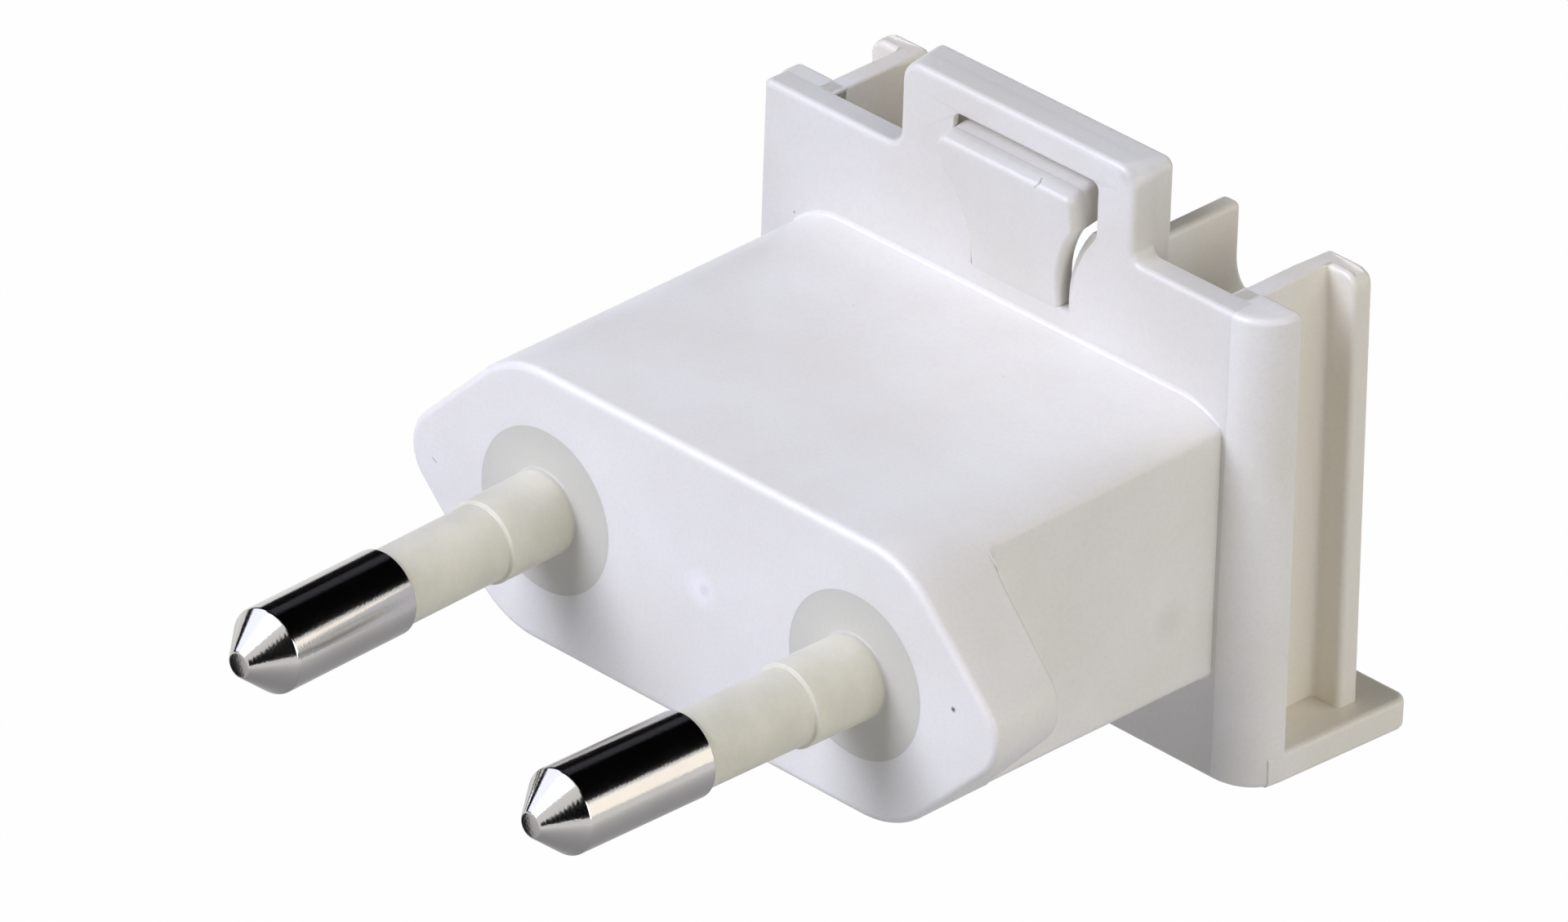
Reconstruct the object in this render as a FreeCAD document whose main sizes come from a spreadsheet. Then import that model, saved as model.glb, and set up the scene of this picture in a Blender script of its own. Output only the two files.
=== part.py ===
import FreeCAD, Part
import math
import os
import Sketcher

# Two-pin slide-on plug head, millimetres.
# The origin is the middle of the front face. X runs along the face, Y runs
# from the face back to the slide plate, Z is up, and the pins point to -Y.

SIZES = {
    # Front face, a hexagon with 45 degree flanks
    "face_width": 36.0,
    "face_height": 13.6,
    "side_radius": 2.3,
    "ridge_radius": 5.0,
    "face_edge_radius": 0.45,
    # Body behind the face
    "body_depth": 19.0,
    "wing_depth": 4.4,
    "waist_right": 12.85,
    "waist_left": 13.4,
    "waist_radius": 0.7,
    "root_height": 13.9,
    "root_width": 33.2,
    "root_ridge_width": 25.6,
    "root_ridge_radius": 4.0,
    "root_flare": 0.6,
    # Slide plate with its raised arch
    "plate_width": 31.2,
    "plate_top_width": 30.7,
    "plate_thickness": 2.35,
    "plate_drop": 11.4,
    "plate_right_radius": 2.0,
    "plate_left_radius": 0.4,
    "shoulder_top": 12.1,
    "arch_top": 16.55,
    "arch_width": 14.1,
    "arch_corner_radius": 1.1,
    "arch_right_foot_radius": 1.0,
    "arch_left_foot_radius": 0.4,
    "wall_thickness": 1.25,
    # Rear slide: bottom stop, side webs, rails and inner ribs
    "stop_thickness": 1.6,
    "stop_back": 28.8,
    "stop_back_width": 31.9,
    "stop_corner_radius": 0.7,
    "web_width": 26.26,
    "web_thickness": 1.0,
    "rail_reach": 1.67,
    "rail_thickness": 1.25,
    "rail_taper": 0.4,
    "rail_back": 26.8,
    "rail_corner_radius": 0.8,
    "rib_thickness": 1.0,
    "rib_top": 12.55,
    "rib_back": 26.0,
    "rib_foot_back": 27.4,
    "rib_foot_level": 8.5,
    "rib_foot_radius": 3.6,
    # Latch tongue and the window around it
    "latch_offset": 0.5,
    "latch_head_width": 8.1,
    "latch_neck_width": 5.44,
    "latch_flare_radius": 6.5,
    "latch_flare_level": 10.75,
    "latch_head_level": 12.65,
    "latch_pivot_level": 8.5,
    "latch_root_level": 6.0,
    "latch_top": 14.45,
    "latch_corner_radius": 0.4,
    "latch_thickness": 1.05,
    "latch_head_thickness": 2.05,
    "latch_underside": 12.3,
    "latch_stand_off": 0.6,
    "latch_lean": 5.7,
    "latch_gap": 0.65,
    "latch_slit": 0.25,
    "lip_depth": 0.3,
    "lip_top": 12.4,
    "window_bottom": 7.9,
    # Pins, their sleeves and the bridge that holds them
    "pin_spacing_face": 19.0,
    "pin_spacing_tip": 17.9,
    "pin_length": 18.9,
    "pin_diameter": 4.0,
    "pin_neck_diameter": 3.0,
    "pin_tip_length": 1.7,
    "pin_tip_diameter": 1.2,
    "sleeve_length": 10.0,
    "sleeve_diameter": 3.6,
    "collar_length": 4.0,
    "collar_diameter": 3.95,
    "disc_diameter": 7.9,
    "disc_depth": 1.5,
    "bridge_height": 6.4,
    "bridge_depth": 2.8,
    "bridge_overhang": 2.9,
    "bridge_corner_radius": 2.0,
    "anchor_diameter": 4.2,
    "anchor_length": 1.2,
    "grip_diameter": 4.6,
    "grip_length": 4.0,
    # Pocket that cores the body out from behind
    "core_width": 11.0,
    "core_height": 9.4,
    "core_front": 8.0,
    "core_corner_radius": 1.0,
    # Contact springs riveted to the pins
    "strip_thickness": 0.35,
    "strip_width": 3.0,
    "strip_top": 4.0,
    "strip_bend_level": 5.0,
    "strip_bend_radius": 1.1,
    "spring_foot": 2.4,
    "spring_crest_level": 1.5,
    "spring_crest_radius": 1.5,
    "spring_reach": 4.2,
    "spring_tip_level": 5.0,
    "spring_tip_reach": 3.1,
    "rivet_diameter": 2.0,
    "rivet_play": 0.05,
    "rivet_head_diameter": 2.8,
    "rivet_head_height": 0.7,
}

doc = FreeCAD.newDocument("plug_head")
sheet = doc.addObject("Spreadsheet::Sheet", "sizes")


def fill_sheet():
    """Write each driving size into its own cell and name the cell."""
    for row, (name, number) in enumerate(SIZES.items(), start=1):
        sheet.set(f"A{row}", name)
        sheet.set(f"B{row}", str(number))
        sheet.setAlias(f"B{row}", name)
    doc.recompute()


def size(name):
    """The formula that reads one cell of the sheet."""
    return f"sizes.{name}"


def negative(formula):
    """The formula with its sign turned."""
    return f"(-{formula})"


# Places that follow from the sizes, as formulas
FACE_TOP = f"({size('face_height')} / 2)"
FACE_VERTEX = f"({size('face_width')} / 2 + {size('side_radius')} * (sqrt(2) - 1))"
FACE_RIDGE = f"({FACE_VERTEX} - {FACE_TOP})"
ROOT_TOP = f"({size('root_height')} / 2)"
ROOT_RIDGE = f"({size('root_ridge_width')} / 2)"
ROOT_VERTEX = f"({size('root_width')} / 2)"
WAIST_RIGHT = size("waist_right")
WAIST_LEFT = negative(size("waist_left"))
PLATE_SIDE = f"({size('plate_width')} / 2)"
PLATE_TOP_SIDE = f"({size('plate_top_width')} / 2)"
PLATE_FRONT = size("body_depth")
PLATE_BACK = f"({PLATE_FRONT} + {size('plate_thickness')})"
WALL_BACK = f"({PLATE_FRONT} + {size('wall_thickness')})"
PLATE_FLOOR = f"(-{size('plate_drop')})"
STOP_TOP = f"({PLATE_FLOOR} + {size('stop_thickness')})"
STOP_SIDE = f"({size('stop_back_width')} / 2)"
SHOULDER = size("shoulder_top")
ARCH_SIDE = f"({size('arch_width')} / 2)"
RIB_IN = f"({ARCH_SIDE} - {size('rib_thickness')})"
WEB_OUT = f"({size('web_width')} / 2)"
WEB_IN = f"({WEB_OUT} - {size('web_thickness')})"
RAIL_OUT = f"({WEB_OUT} + {size('rail_reach')})"
RAIL_FRONT = f"({size('rail_back')} - {size('rail_thickness')})"
HEAD_HALF = f"({size('latch_head_width')} / 2)"
NECK_HALF = f"({size('latch_neck_width')} / 2)"
HEAD_LEVEL = size("latch_head_level")
FLARE_LEVEL = size("latch_flare_level")
FLARE_SLOPE = f"(({HEAD_HALF} - {NECK_HALF}) / ({HEAD_LEVEL} - {FLARE_LEVEL}))"
PIN_SIDE = f"({size('pin_spacing_face')} / 2)"
PIN_SLOPE = f"(({size('pin_spacing_face')} - {size('pin_spacing_tip')}) / 2 / {size('pin_length')})"
PIN_ANGLE = f"atan({PIN_SLOPE})"
RIVET_SIDE = f"({PIN_SIDE} + {WALL_BACK} * {PIN_SLOPE})"
BRIDGE_BACK = f"({size('disc_depth')} + {size('bridge_depth')})"
GRIP_BACK = f"({BRIDGE_BACK} + {size('grip_length')})"
RIVET_BASE = f"({WALL_BACK} + {size('strip_thickness')} + {size('rivet_play')})"


def plane(body, role):
    """One of the body's own origin planes."""
    return next(item for item in body.Origin.OriginFeatures if item.Role == role)


def new_body(label):
    """A body that carries one sub-part and names its file."""
    body = doc.addObject("PartDesign::Body", label)
    body.Label = label
    return body


def new_sketch(body, name, role, shift="0"):
    """A sketch on an origin plane of its own body, moved along the plane's normal."""
    sketch = body.newObject("Sketcher::SketchObject", name)
    sketch.AttachmentSupport = [(plane(body, role), "")]
    sketch.MapMode = "FlatFace"
    sketch.setExpression("AttachmentOffset.Base.z", shift)
    doc.recompute()
    return sketch


def front_sketch(body, name, depth):
    """A sketch seen from the front, at a depth. Its axes are X and Z."""
    return new_sketch(body, name, "XZ_Plane", negative(depth))


def number(sketch, formula):
    """The present value of a formula."""
    result = sketch.evalExpression(formula)
    return float(getattr(result, "Value", result))


def drive(sketch, constraint, formula):
    """Add a constraint and bind its value to a formula."""
    index = sketch.addConstraint(constraint)
    sketch.setExpression(f"Constraints[{index}]", formula)


def hold(sketch, geometry, position, corner):
    """Hold a point at the two formulas of a corner."""
    sides = (("DistanceX", corner[0], -2), ("DistanceY", corner[1], -1))
    for kind, formula, axis in sides:
        if formula == "0":
            sketch.addConstraint(Sketcher.Constraint("PointOnObject", geometry, position, axis))
        else:
            start = number(sketch, formula)
            drive(sketch, Sketcher.Constraint(kind, -1, 1, geometry, position, start), formula)


def corner_round(before, corner, after, radius):
    """The tangent arc in a corner: its two ends, its centre and whether it turns left."""
    along_in = (corner - before).normalize()
    along_out = (after - corner).normalize()
    left = along_in.cross(along_out).z > 0
    reach = radius * math.tan(along_in.getAngle(along_out) / 2)
    start = corner - along_in * reach
    end = corner + along_out * reach
    inward = FreeCAD.Vector(-along_in.y, along_in.x, 0)
    centre = start + inward * (radius if left else -radius)
    return start, end, centre, left


def add_round(sketch, line_in, line_out, corner, point, bend):
    """Draw a corner's arc, tangent to both lines, and hold where the lines would meet."""
    start, end, centre, left = bend
    radius = (start - centre).Length
    circle = Part.Circle(centre, FreeCAD.Vector(0, 0, 1), radius)
    first, last = (start, end) if left else (end, start)
    shape = Part.ArcOfCircle(circle, circle.parameter(first), circle.parameter(last))
    arc = sketch.addGeometry(shape, False)
    joint_in, joint_out = (1, 2) if left else (2, 1)
    sketch.addConstraint(Sketcher.Constraint("Tangent", line_in, 2, arc, joint_in))
    sketch.addConstraint(Sketcher.Constraint("Tangent", arc, joint_out, line_out, 1))
    vertex = sketch.addGeometry(Part.Point(point), True)
    sketch.addConstraint(Sketcher.Constraint("PointOnObject", vertex, 1, line_in))
    sketch.addConstraint(Sketcher.Constraint("PointOnObject", vertex, 1, line_out))
    hold(sketch, vertex, 1, corner)
    drive(sketch, Sketcher.Constraint("Radius", arc, radius), corner[2])


def draw(sketch, corners, closed=True):
    """Draw lines through corners of (x, y, radius) formulas, rounding those with a radius."""
    count = len(corners)
    points = [FreeCAD.Vector(number(sketch, c[0]), number(sketch, c[1]), 0) for c in corners]
    bends = []
    for i, corner in enumerate(corners):
        if corner[2]:
            radius = number(sketch, corner[2])
            bends.append(corner_round(points[i - 1], points[i], points[(i + 1) % count], radius))
        else:
            bends.append((points[i], points[i], None, True))
    lines = []
    for i in range(count if closed else count - 1):
        segment = Part.LineSegment(bends[i][1], bends[(i + 1) % count][0])
        lines.append(sketch.addGeometry(segment, False))
    for i, corner in enumerate(corners):
        if not closed and i == 0:
            hold(sketch, lines[0], 1, corner)
        elif not closed and i == count - 1:
            hold(sketch, lines[-1], 2, corner)
        elif corner[2]:
            add_round(sketch, lines[i - 1], lines[i], corner, points[i], bends[i])
        else:
            sketch.addConstraint(Sketcher.Constraint("Coincident", lines[i - 1], 2, lines[i], 1))
            hold(sketch, lines[i], 1, corner)
    doc.recompute()


def draw_circle(sketch, x, y, diameter):
    """Draw a circle with its centre and diameter given by formulas."""
    centre = FreeCAD.Vector(number(sketch, x), number(sketch, y), 0)
    radius = f"({diameter} / 2)"
    start = number(sketch, radius)
    circle = sketch.addGeometry(Part.Circle(centre, FreeCAD.Vector(0, 0, 1), start), False)
    hold(sketch, circle, 3, (x, y))
    drive(sketch, Sketcher.Constraint("Radius", circle, start), radius)
    doc.recompute()


def box_corners(left, bottom, right, top, radius=None):
    """The corners of an upright rectangle, in order, with one radius for all four."""
    return [(left, bottom, radius), (right, bottom, radius), (right, top, radius), (left, top, radius)]


def extrude(body, kind, name, sketch, length, reverse=False):
    """Pad or pocket a sketch by a length."""
    feature = body.newObject(f"PartDesign::{kind}", name)
    feature.Profile = sketch
    feature.Reversed = reverse
    feature.setExpression("Length", length)
    doc.recompute()
    return feature


def revolve(body, kind, name, sketch):
    """Turn a sketch once round its own upright axis, adding or cutting."""
    feature = body.newObject(f"PartDesign::{kind}", name)
    feature.Profile = sketch
    feature.ReferenceAxis = (sketch, ["V_Axis"])
    feature.Angle = 360
    doc.recompute()
    return feature


def mirror_sideways(body, name, originals):
    """Repeat features on the other side of the middle plane."""
    mirrored = body.newObject("PartDesign::Mirrored", name)
    mirrored.Originals = originals
    mirrored.MirrorPlane = (plane(body, "YZ_Plane"), [""])
    body.Tip = mirrored
    doc.recompute()
    return mirrored


def round_edges(body, name, base, test, radius):
    """Fillet the edges of a feature whose middle passes a test."""
    names = []
    for index, edge in enumerate(base.Shape.Edges, start=1):
        middle = edge.valueAt((edge.FirstParameter + edge.LastParameter) / 2)
        if test(middle):
            names.append(f"Edge{index}")
    feature = body.newObject("PartDesign::Fillet", name)
    feature.Base = (base, names)
    feature.setExpression("Radius", radius)
    doc.recompute()
    return feature


def hexagon(top, ridge, vertex, ridge_radius, side_radius):
    """The plug body's outline: flat top and bottom, 45 degree flanks and rounded corners."""
    bottom = negative(top)
    return [
        (ridge, bottom, ridge_radius),
        (vertex, "0", side_radius),
        (ridge, top, ridge_radius),
        (negative(ridge), top, ridge_radius),
        (negative(vertex), "0", side_radius),
        (negative(ridge), bottom, ridge_radius),
    ]


def add_plug_body(body):
    """The block between face and plate: it flares into the plate and has waisted sides."""
    face = front_sketch(body, "face_outline", "0")
    rounds = (size("ridge_radius"), size("side_radius"))
    draw(face, hexagon(FACE_TOP, FACE_RIDGE, FACE_VERTEX, *rounds))
    root = front_sketch(body, "root_outline", PLATE_FRONT)
    rounds = (size("root_ridge_radius"), size("side_radius"))
    draw(root, hexagon(ROOT_TOP, ROOT_RIDGE, ROOT_VERTEX, *rounds))
    loft = body.newObject("PartDesign::AdditiveLoft", "body_loft")
    loft.Profile = face
    loft.Sections = [root]
    loft.Ruled = True
    doc.recompute()
    flare = size("root_flare")
    sections = []
    for word, depth, top in (
        ("inner", f"({PLATE_FRONT} - 2 * {flare})", f"({ROOT_TOP} - {flare})"),
        ("outer", PLATE_FRONT, f"({ROOT_TOP} + {flare})"),
    ):
        section = front_sketch(body, f"flare_{word}", depth)
        draw(section, hexagon(top, ROOT_RIDGE, ROOT_VERTEX, *rounds))
        sections.append(section)
    skirt = body.newObject("PartDesign::AdditiveLoft", "root_flare")
    skirt.Profile = sections[0]
    skirt.Sections = sections[1:]
    skirt.Ruled = True
    doc.recompute()
    beyond = f"({ROOT_VERTEX} + {size('side_radius')})"
    sides = (("right", WAIST_RIGHT, beyond), ("left", WAIST_LEFT, negative(beyond)))
    for word, waist, outside in sides:
        sketch = new_sketch(body, f"{word}_waist_outline", "XY_Plane", ROOT_TOP)
        draw(sketch, [
            (waist, size("wing_depth"), size("waist_radius")),
            (outside, size("wing_depth"), None),
            (outside, PLATE_BACK, None),
            (waist, PLATE_BACK, None),
        ])
        cut = extrude(body, "Pocket", f"{word}_waist", sketch, size("root_height"))
    return cut


def add_plate(body):
    """The slide plate: its sides lean inwards to the shoulders, with the arch between them."""
    sketch = front_sketch(body, "plate_outline", PLATE_FRONT)
    top = size("arch_top")
    crown = size("arch_corner_radius")
    draw(sketch, [
        (negative(PLATE_SIDE), PLATE_FLOOR, None),
        (PLATE_SIDE, PLATE_FLOOR, None),
        (PLATE_TOP_SIDE, SHOULDER, None),
        (ARCH_SIDE, SHOULDER, size("arch_right_foot_radius")),
        (ARCH_SIDE, top, crown),
        (negative(ARCH_SIDE), top, crown),
        (negative(ARCH_SIDE), SHOULDER, size("arch_left_foot_radius")),
        (negative(PLATE_TOP_SIDE), SHOULDER, None),
    ])
    return extrude(body, "Pad", "plate", sketch, size("plate_thickness"), reverse=True)


def round_front(body, plate):
    """Round the plate's front corners and break the face's edge."""
    front = number(plate, PLATE_FRONT)
    side = number(plate, f"({PLATE_SIDE} + {PLATE_TOP_SIDE}) / 2")
    near = 1e-3

    def at_right_side(middle):
        return abs(middle.y - front) < near and abs(middle.x - side) < near

    def at_left_side(middle):
        return abs(middle.y - front) < near and abs(middle.x + side) < near

    def at_face(middle):
        return abs(middle.y) < near

    right = round_edges(body, "right_side_round", plate, at_right_side, size("plate_right_radius"))
    left = round_edges(body, "left_side_round", right, at_left_side, size("plate_left_radius"))
    return round_edges(body, "face_rounds", left, at_face, size("face_edge_radius"))


def add_slide(body):
    """The rear slide: bottom stop, webs with outward rails, inner ribs and thin chamber walls."""
    outline = new_sketch(body, "stop_outline", "XY_Plane", PLATE_FLOOR)
    corner = size("stop_corner_radius")
    draw(outline, [
        (negative(PLATE_SIDE), PLATE_BACK, None),
        (PLATE_SIDE, PLATE_BACK, None),
        (STOP_SIDE, size("stop_back"), corner),
        (negative(STOP_SIDE), size("stop_back"), corner),
    ])
    extrude(body, "Pad", "stop", outline, size("stop_thickness"))
    chamber = front_sketch(body, "chamber_outline", PLATE_BACK)
    open_top = f"({SHOULDER} + {size('plate_thickness')})"
    draw(chamber, box_corners(ARCH_SIDE, STOP_TOP, WEB_IN, open_top))
    thinned = f"({size('plate_thickness')} - {size('wall_thickness')})"
    cut = extrude(body, "Pocket", "chamber", chamber, thinned, reverse=True)
    mirror_sideways(body, "both_chambers", [cut])
    web = new_sketch(body, "web_outline", "YZ_Plane", WEB_IN)
    draw(web, box_corners(WALL_BACK, STOP_TOP, size("rail_back"), SHOULDER))
    web_pad = extrude(body, "Pad", "web", web, size("web_thickness"))
    rail = front_sketch(body, "rail_outline", RAIL_FRONT)
    draw(rail, [
        (WEB_IN, STOP_TOP, None),
        (RAIL_OUT, STOP_TOP, None),
        (RAIL_OUT, SHOULDER, size("rail_corner_radius")),
        (WEB_IN, SHOULDER, None),
    ])
    rail_pad = extrude(body, "Pad", "rail", rail, size("rail_thickness"), reverse=True)
    slope = new_sketch(body, "rail_slope", "YZ_Plane", WEB_IN)
    beyond = f"({size('rail_back')} + {size('rail_taper')})"
    above = f"({SHOULDER} + {size('rail_taper')})"
    draw(slope, [
        (size("rail_back"), STOP_TOP, None),
        (beyond, STOP_TOP, None),
        (beyond, above, None),
        (f"({size('rail_back')} - {size('rail_taper')})", above, None),
    ])
    slope_cut = extrude(body, "Pocket", "rail_lead", slope, f"({RAIL_OUT} - {WEB_IN})", reverse=True)
    rib = new_sketch(body, "rib_outline", "YZ_Plane", RIB_IN)
    foot_drop = f"({size('rib_foot_level')} - {size('rib_foot_back')} + {size('rib_back')})"
    draw(rib, [
        (WALL_BACK, STOP_TOP, None),
        (size("rib_foot_back"), STOP_TOP, None),
        (size("rib_foot_back"), foot_drop, None),
        (size("rib_back"), size("rib_foot_level"), size("rib_foot_radius")),
        (size("rib_back"), size("rib_top"), None),
        (WALL_BACK, size("rib_top"), None),
    ])
    rib_pad = extrude(body, "Pad", "rib", rib, size("rib_thickness"))
    return mirror_sideways(body, "both_slides", [web_pad, rail_pad, slope_cut, rib_pad])


def latch_place(sketch):
    """Stand a latch sketch in front of the plate, leaning forward above its pivot level."""
    sketch.AttachmentOffset = FreeCAD.Placement(
        FreeCAD.Vector(0, 0, 0), FreeCAD.Rotation(FreeCAD.Vector(1, 0, 0), 1))
    sketch.setExpression("AttachmentOffset.Base.x", size("latch_offset"))
    sketch.setExpression("AttachmentOffset.Base.y", size("latch_pivot_level"))
    sketch.setExpression("AttachmentOffset.Base.z", f"{size('latch_stand_off')} - {PLATE_FRONT}")
    sketch.setExpression("AttachmentOffset.Rotation.Angle", size("latch_lean"))
    doc.recompute()


def flared(low, step, top, spread, slit=None, middle="0", base="0"):
    """The latch's outline, or the window round it when spread by a gap.

    It rises from a narrow neck through a curved flare to the head. With a slit given, the
    part below the step keeps only that gap. Middle and base are the origin's place.
    """
    near = slit or spread
    # An outward offset of the flare lowers its corners by half its turn
    sink = f"(tan(atan({FLARE_SLOPE}) / 2))"
    neck = f"({NECK_HALF} + {near})"
    head = f"({HEAD_HALF} + {spread})"
    flare = f"({FLARE_LEVEL} - {near} * {sink} - {base})"
    bend = f"({size('latch_flare_radius')} - {near})"
    crown = size("latch_corner_radius")
    if slit:
        meet = f"({NECK_HALF} + ({step} - {FLARE_LEVEL} + {slit} * {sink}) * {FLARE_SLOPE} + {slit})"
        shoulder = [(meet, f"({step} - {base})"), (head, f"({step} - {base})")]
    else:
        shoulder = [(head, f"({HEAD_LEVEL} - {spread} * {sink} - {base})")]
    right = [(neck, f"({low} - {base})", None), (neck, flare, bend)]
    right += [(x, y, None) for x, y in shoulder]
    right += [(head, f"({top} - {base})", crown)]
    left = [(negative(x), y, radius) for x, y, radius in reversed(right)]
    return [(f"({middle} + {x})", y, radius) for x, y, radius in right + left]


def add_latch(body):
    """The window through the arch and the springy tongue that stands in it."""
    middle = size("latch_offset")
    window_top = f"({size('latch_top')} + {size('latch_gap')})"
    low = size("window_bottom")
    through = front_sketch(body, "window_outline", PLATE_FRONT)
    draw(through, flared(low, size("lip_top"), window_top, size("latch_gap"), size("latch_slit"), middle))
    extrude(body, "Pocket", "window", through, size("plate_thickness"))
    recess = front_sketch(body, "recess_outline", PLATE_FRONT)
    draw(recess, flared(low, None, window_top, size("latch_gap"), None, middle))
    extrude(body, "Pocket", "window_recess", recess, size("lip_depth"))
    tongue = front_sketch(body, "tongue_outline", "0")
    latch_place(tongue)
    pivot = size("latch_pivot_level")
    draw(tongue, flared(size("latch_root_level"), None, size("latch_top"), "0", None, "0", pivot))
    extrude(body, "Pad", "tongue", tongue, size("latch_thickness"), reverse=True)
    head = front_sketch(body, "head_outline", "0")
    latch_place(head)
    level = f"({size('latch_underside')} - {pivot})"
    reach = f"({NECK_HALF} + ({size('latch_underside')} - {FLARE_LEVEL}) * {FLARE_SLOPE})"
    side = f"({HEAD_LEVEL} - {pivot})"
    top = f"({size('latch_top')} - {pivot})"
    crown = size("latch_corner_radius")
    draw(head, [
        (negative(reach), level, None),
        (reach, level, None),
        (HEAD_HALF, side, None),
        (HEAD_HALF, top, crown),
        (negative(HEAD_HALF), top, crown),
        (negative(HEAD_HALF), side, None),
    ])
    return extrude(body, "Pad", "latch_head", head, size("latch_head_thickness"), reverse=True)


def sleeve_place(sketch):
    """Lay a turned outline along the right pin: its upright axis is the pin's axis."""
    sketch.AttachmentOffset = FreeCAD.Placement(
        FreeCAD.Vector(0, 0, 0), FreeCAD.Rotation(FreeCAD.Vector(0, 0, -1), 1))
    sketch.setExpression("AttachmentOffset.Base.x", PIN_SIDE)
    sketch.setExpression("AttachmentOffset.Rotation.Angle", PIN_ANGLE)
    doc.recompute()


def bridge_rounds(body, kind, name, front):
    """The sleeve, collar and rear grip of the right side, from a front end to the grip's end."""
    sketch = new_sketch(body, f"{name}_outline", "XY_Plane")
    sleeve_place(sketch)
    sleeve = f"({size('sleeve_diameter')} / 2)"
    collar = f"({size('collar_diameter')} / 2)"
    grip = f"({size('grip_diameter')} / 2)"
    if front:
        outer = [
            ("0", negative(size("sleeve_length")), None),
            (sleeve, negative(size("sleeve_length")), None),
            (sleeve, negative(size("collar_length")), None),
            (collar, negative(size("collar_length")), None),
            (collar, f"({size('disc_depth')} / 2)", None),
        ]
    else:
        outer = [("0", f"({size('disc_depth')} / 2)", None)]
    inner = [(grip, f"({size('disc_depth')} / 2)", None), (grip, GRIP_BACK, None), ("0", GRIP_BACK, None)]
    draw(sketch, outer + inner)
    return revolve(body, kind, name, sketch)


def bridge_blocks(body, kind, reverse):
    """The flush discs and the bar between them, added to the bridge or cut from the housing."""
    disc = front_sketch(body, "disc_outline", "0")
    draw_circle(disc, PIN_SIDE, "0", size("disc_diameter"))
    disc_block = extrude(body, kind, "disc", disc, size("disc_depth"), reverse)
    bar = front_sketch(body, "bar_outline", size("disc_depth"))
    end = f"({PIN_SIDE} + {size('bridge_overhang')})"
    height = f"({size('bridge_height')} / 2)"
    corner = size("bridge_corner_radius")
    draw(bar, box_corners(negative(end), negative(height), end, height, corner))
    bar_block = extrude(body, kind, "bar", bar, size("bridge_depth"), reverse)
    return disc_block, bar_block


def pin_outline(sketch):
    """Half the pin's section, from its bare tip through neck and anchor to the rear."""
    bare = f"({size('pin_diameter')} / 2)"
    neck = f"({size('pin_neck_diameter')} / 2)"
    anchor = f"({size('anchor_diameter')} / 2)"
    rivet = f"({size('rivet_diameter')} / 2)"
    head = f"({size('rivet_head_diameter')} / 2)"
    tip = negative(size("pin_length"))
    shoulder = f"({WALL_BACK} - {size('rivet_play')})"
    anchor_back = f"({size('disc_depth')} + {size('anchor_length')})"
    head_back = f"({RIVET_BASE} + {size('rivet_head_height')})"
    draw(sketch, [
        ("0", tip, None),
        (f"({size('pin_tip_diameter')} / 2)", tip, None),
        (bare, f"({size('pin_tip_length')} - {size('pin_length')})", None),
        (bare, negative(size("sleeve_length")), None),
        (neck, negative(size("sleeve_length")), None),
        (neck, size("disc_depth"), None),
        (anchor, size("disc_depth"), None),
        (anchor, anchor_back, None),
        (neck, anchor_back, None),
        (neck, shoulder, None),
        (rivet, shoulder, None),
        (rivet, RIVET_BASE, None),
        (head, RIVET_BASE, None),
        (head, f"({RIVET_BASE} + {size('rivet_head_height')} / 2)", None),
        (rivet, head_back, None),
        ("0", head_back, None),
    ])


def cut_pin_room(body, name):
    """Cut the room that a pin takes out of a piece that holds it."""
    sketch = new_sketch(body, f"{name}_outline", "XY_Plane")
    sleeve_place(sketch)
    pin_outline(sketch)
    return revolve(body, "Groove", name, sketch)


def make_housing():
    """The white moulding: plug body, slide plate, latch tongue, rails and stop in one."""
    body = new_body("housing")
    add_plug_body(body)
    plate = add_plate(body)
    round_front(body, plate)
    add_slide(body)
    add_latch(body)
    core = front_sketch(body, "core_outline", PLATE_BACK)
    width = f"({size('core_width')} / 2)"
    height = f"({size('core_height')} / 2)"
    corner = size("core_corner_radius")
    draw(core, box_corners(negative(width), negative(height), width, height, corner))
    extrude(body, "Pocket", "core", core, f"({PLATE_BACK} - {size('core_front')})", reverse=True)
    disc, bar = bridge_blocks(body, "Pocket", False)
    grip = bridge_rounds(body, "Groove", "grip_room", False)
    pin = cut_pin_room(body, "pin_room")
    mirror_sideways(body, "both_pin_rooms", [disc, grip, pin])
    return body


def make_bridge():
    """The cream moulding that holds both pins: flush discs, collars, sleeves and a bar."""
    body = new_body("pin_bridge")
    disc, bar = bridge_blocks(body, "Pad", True)
    rounds = bridge_rounds(body, "Revolution", "sleeve", True)
    room = cut_pin_room(body, "pin_room")
    mirror_sideways(body, "both_sleeves", [disc, rounds, room])
    return body


def make_pin(label, side):
    """One plated brass pin, turned about its own axis and set converging to the tip."""
    body = new_body(label)
    sketch = new_sketch(body, f"{label}_outline", "XY_Plane")
    pin_outline(sketch)
    revolve(body, "Revolution", f"{label}_turned", sketch)
    body.Placement = FreeCAD.Placement(
        FreeCAD.Vector(0, 0, 0), FreeCAD.Rotation(FreeCAD.Vector(0, 0, -side), 1))
    body.setExpression("Placement.Base.x", f"{side} * {PIN_SIDE}")
    body.setExpression("Placement.Rotation.Angle", PIN_ANGLE)
    return body


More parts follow.
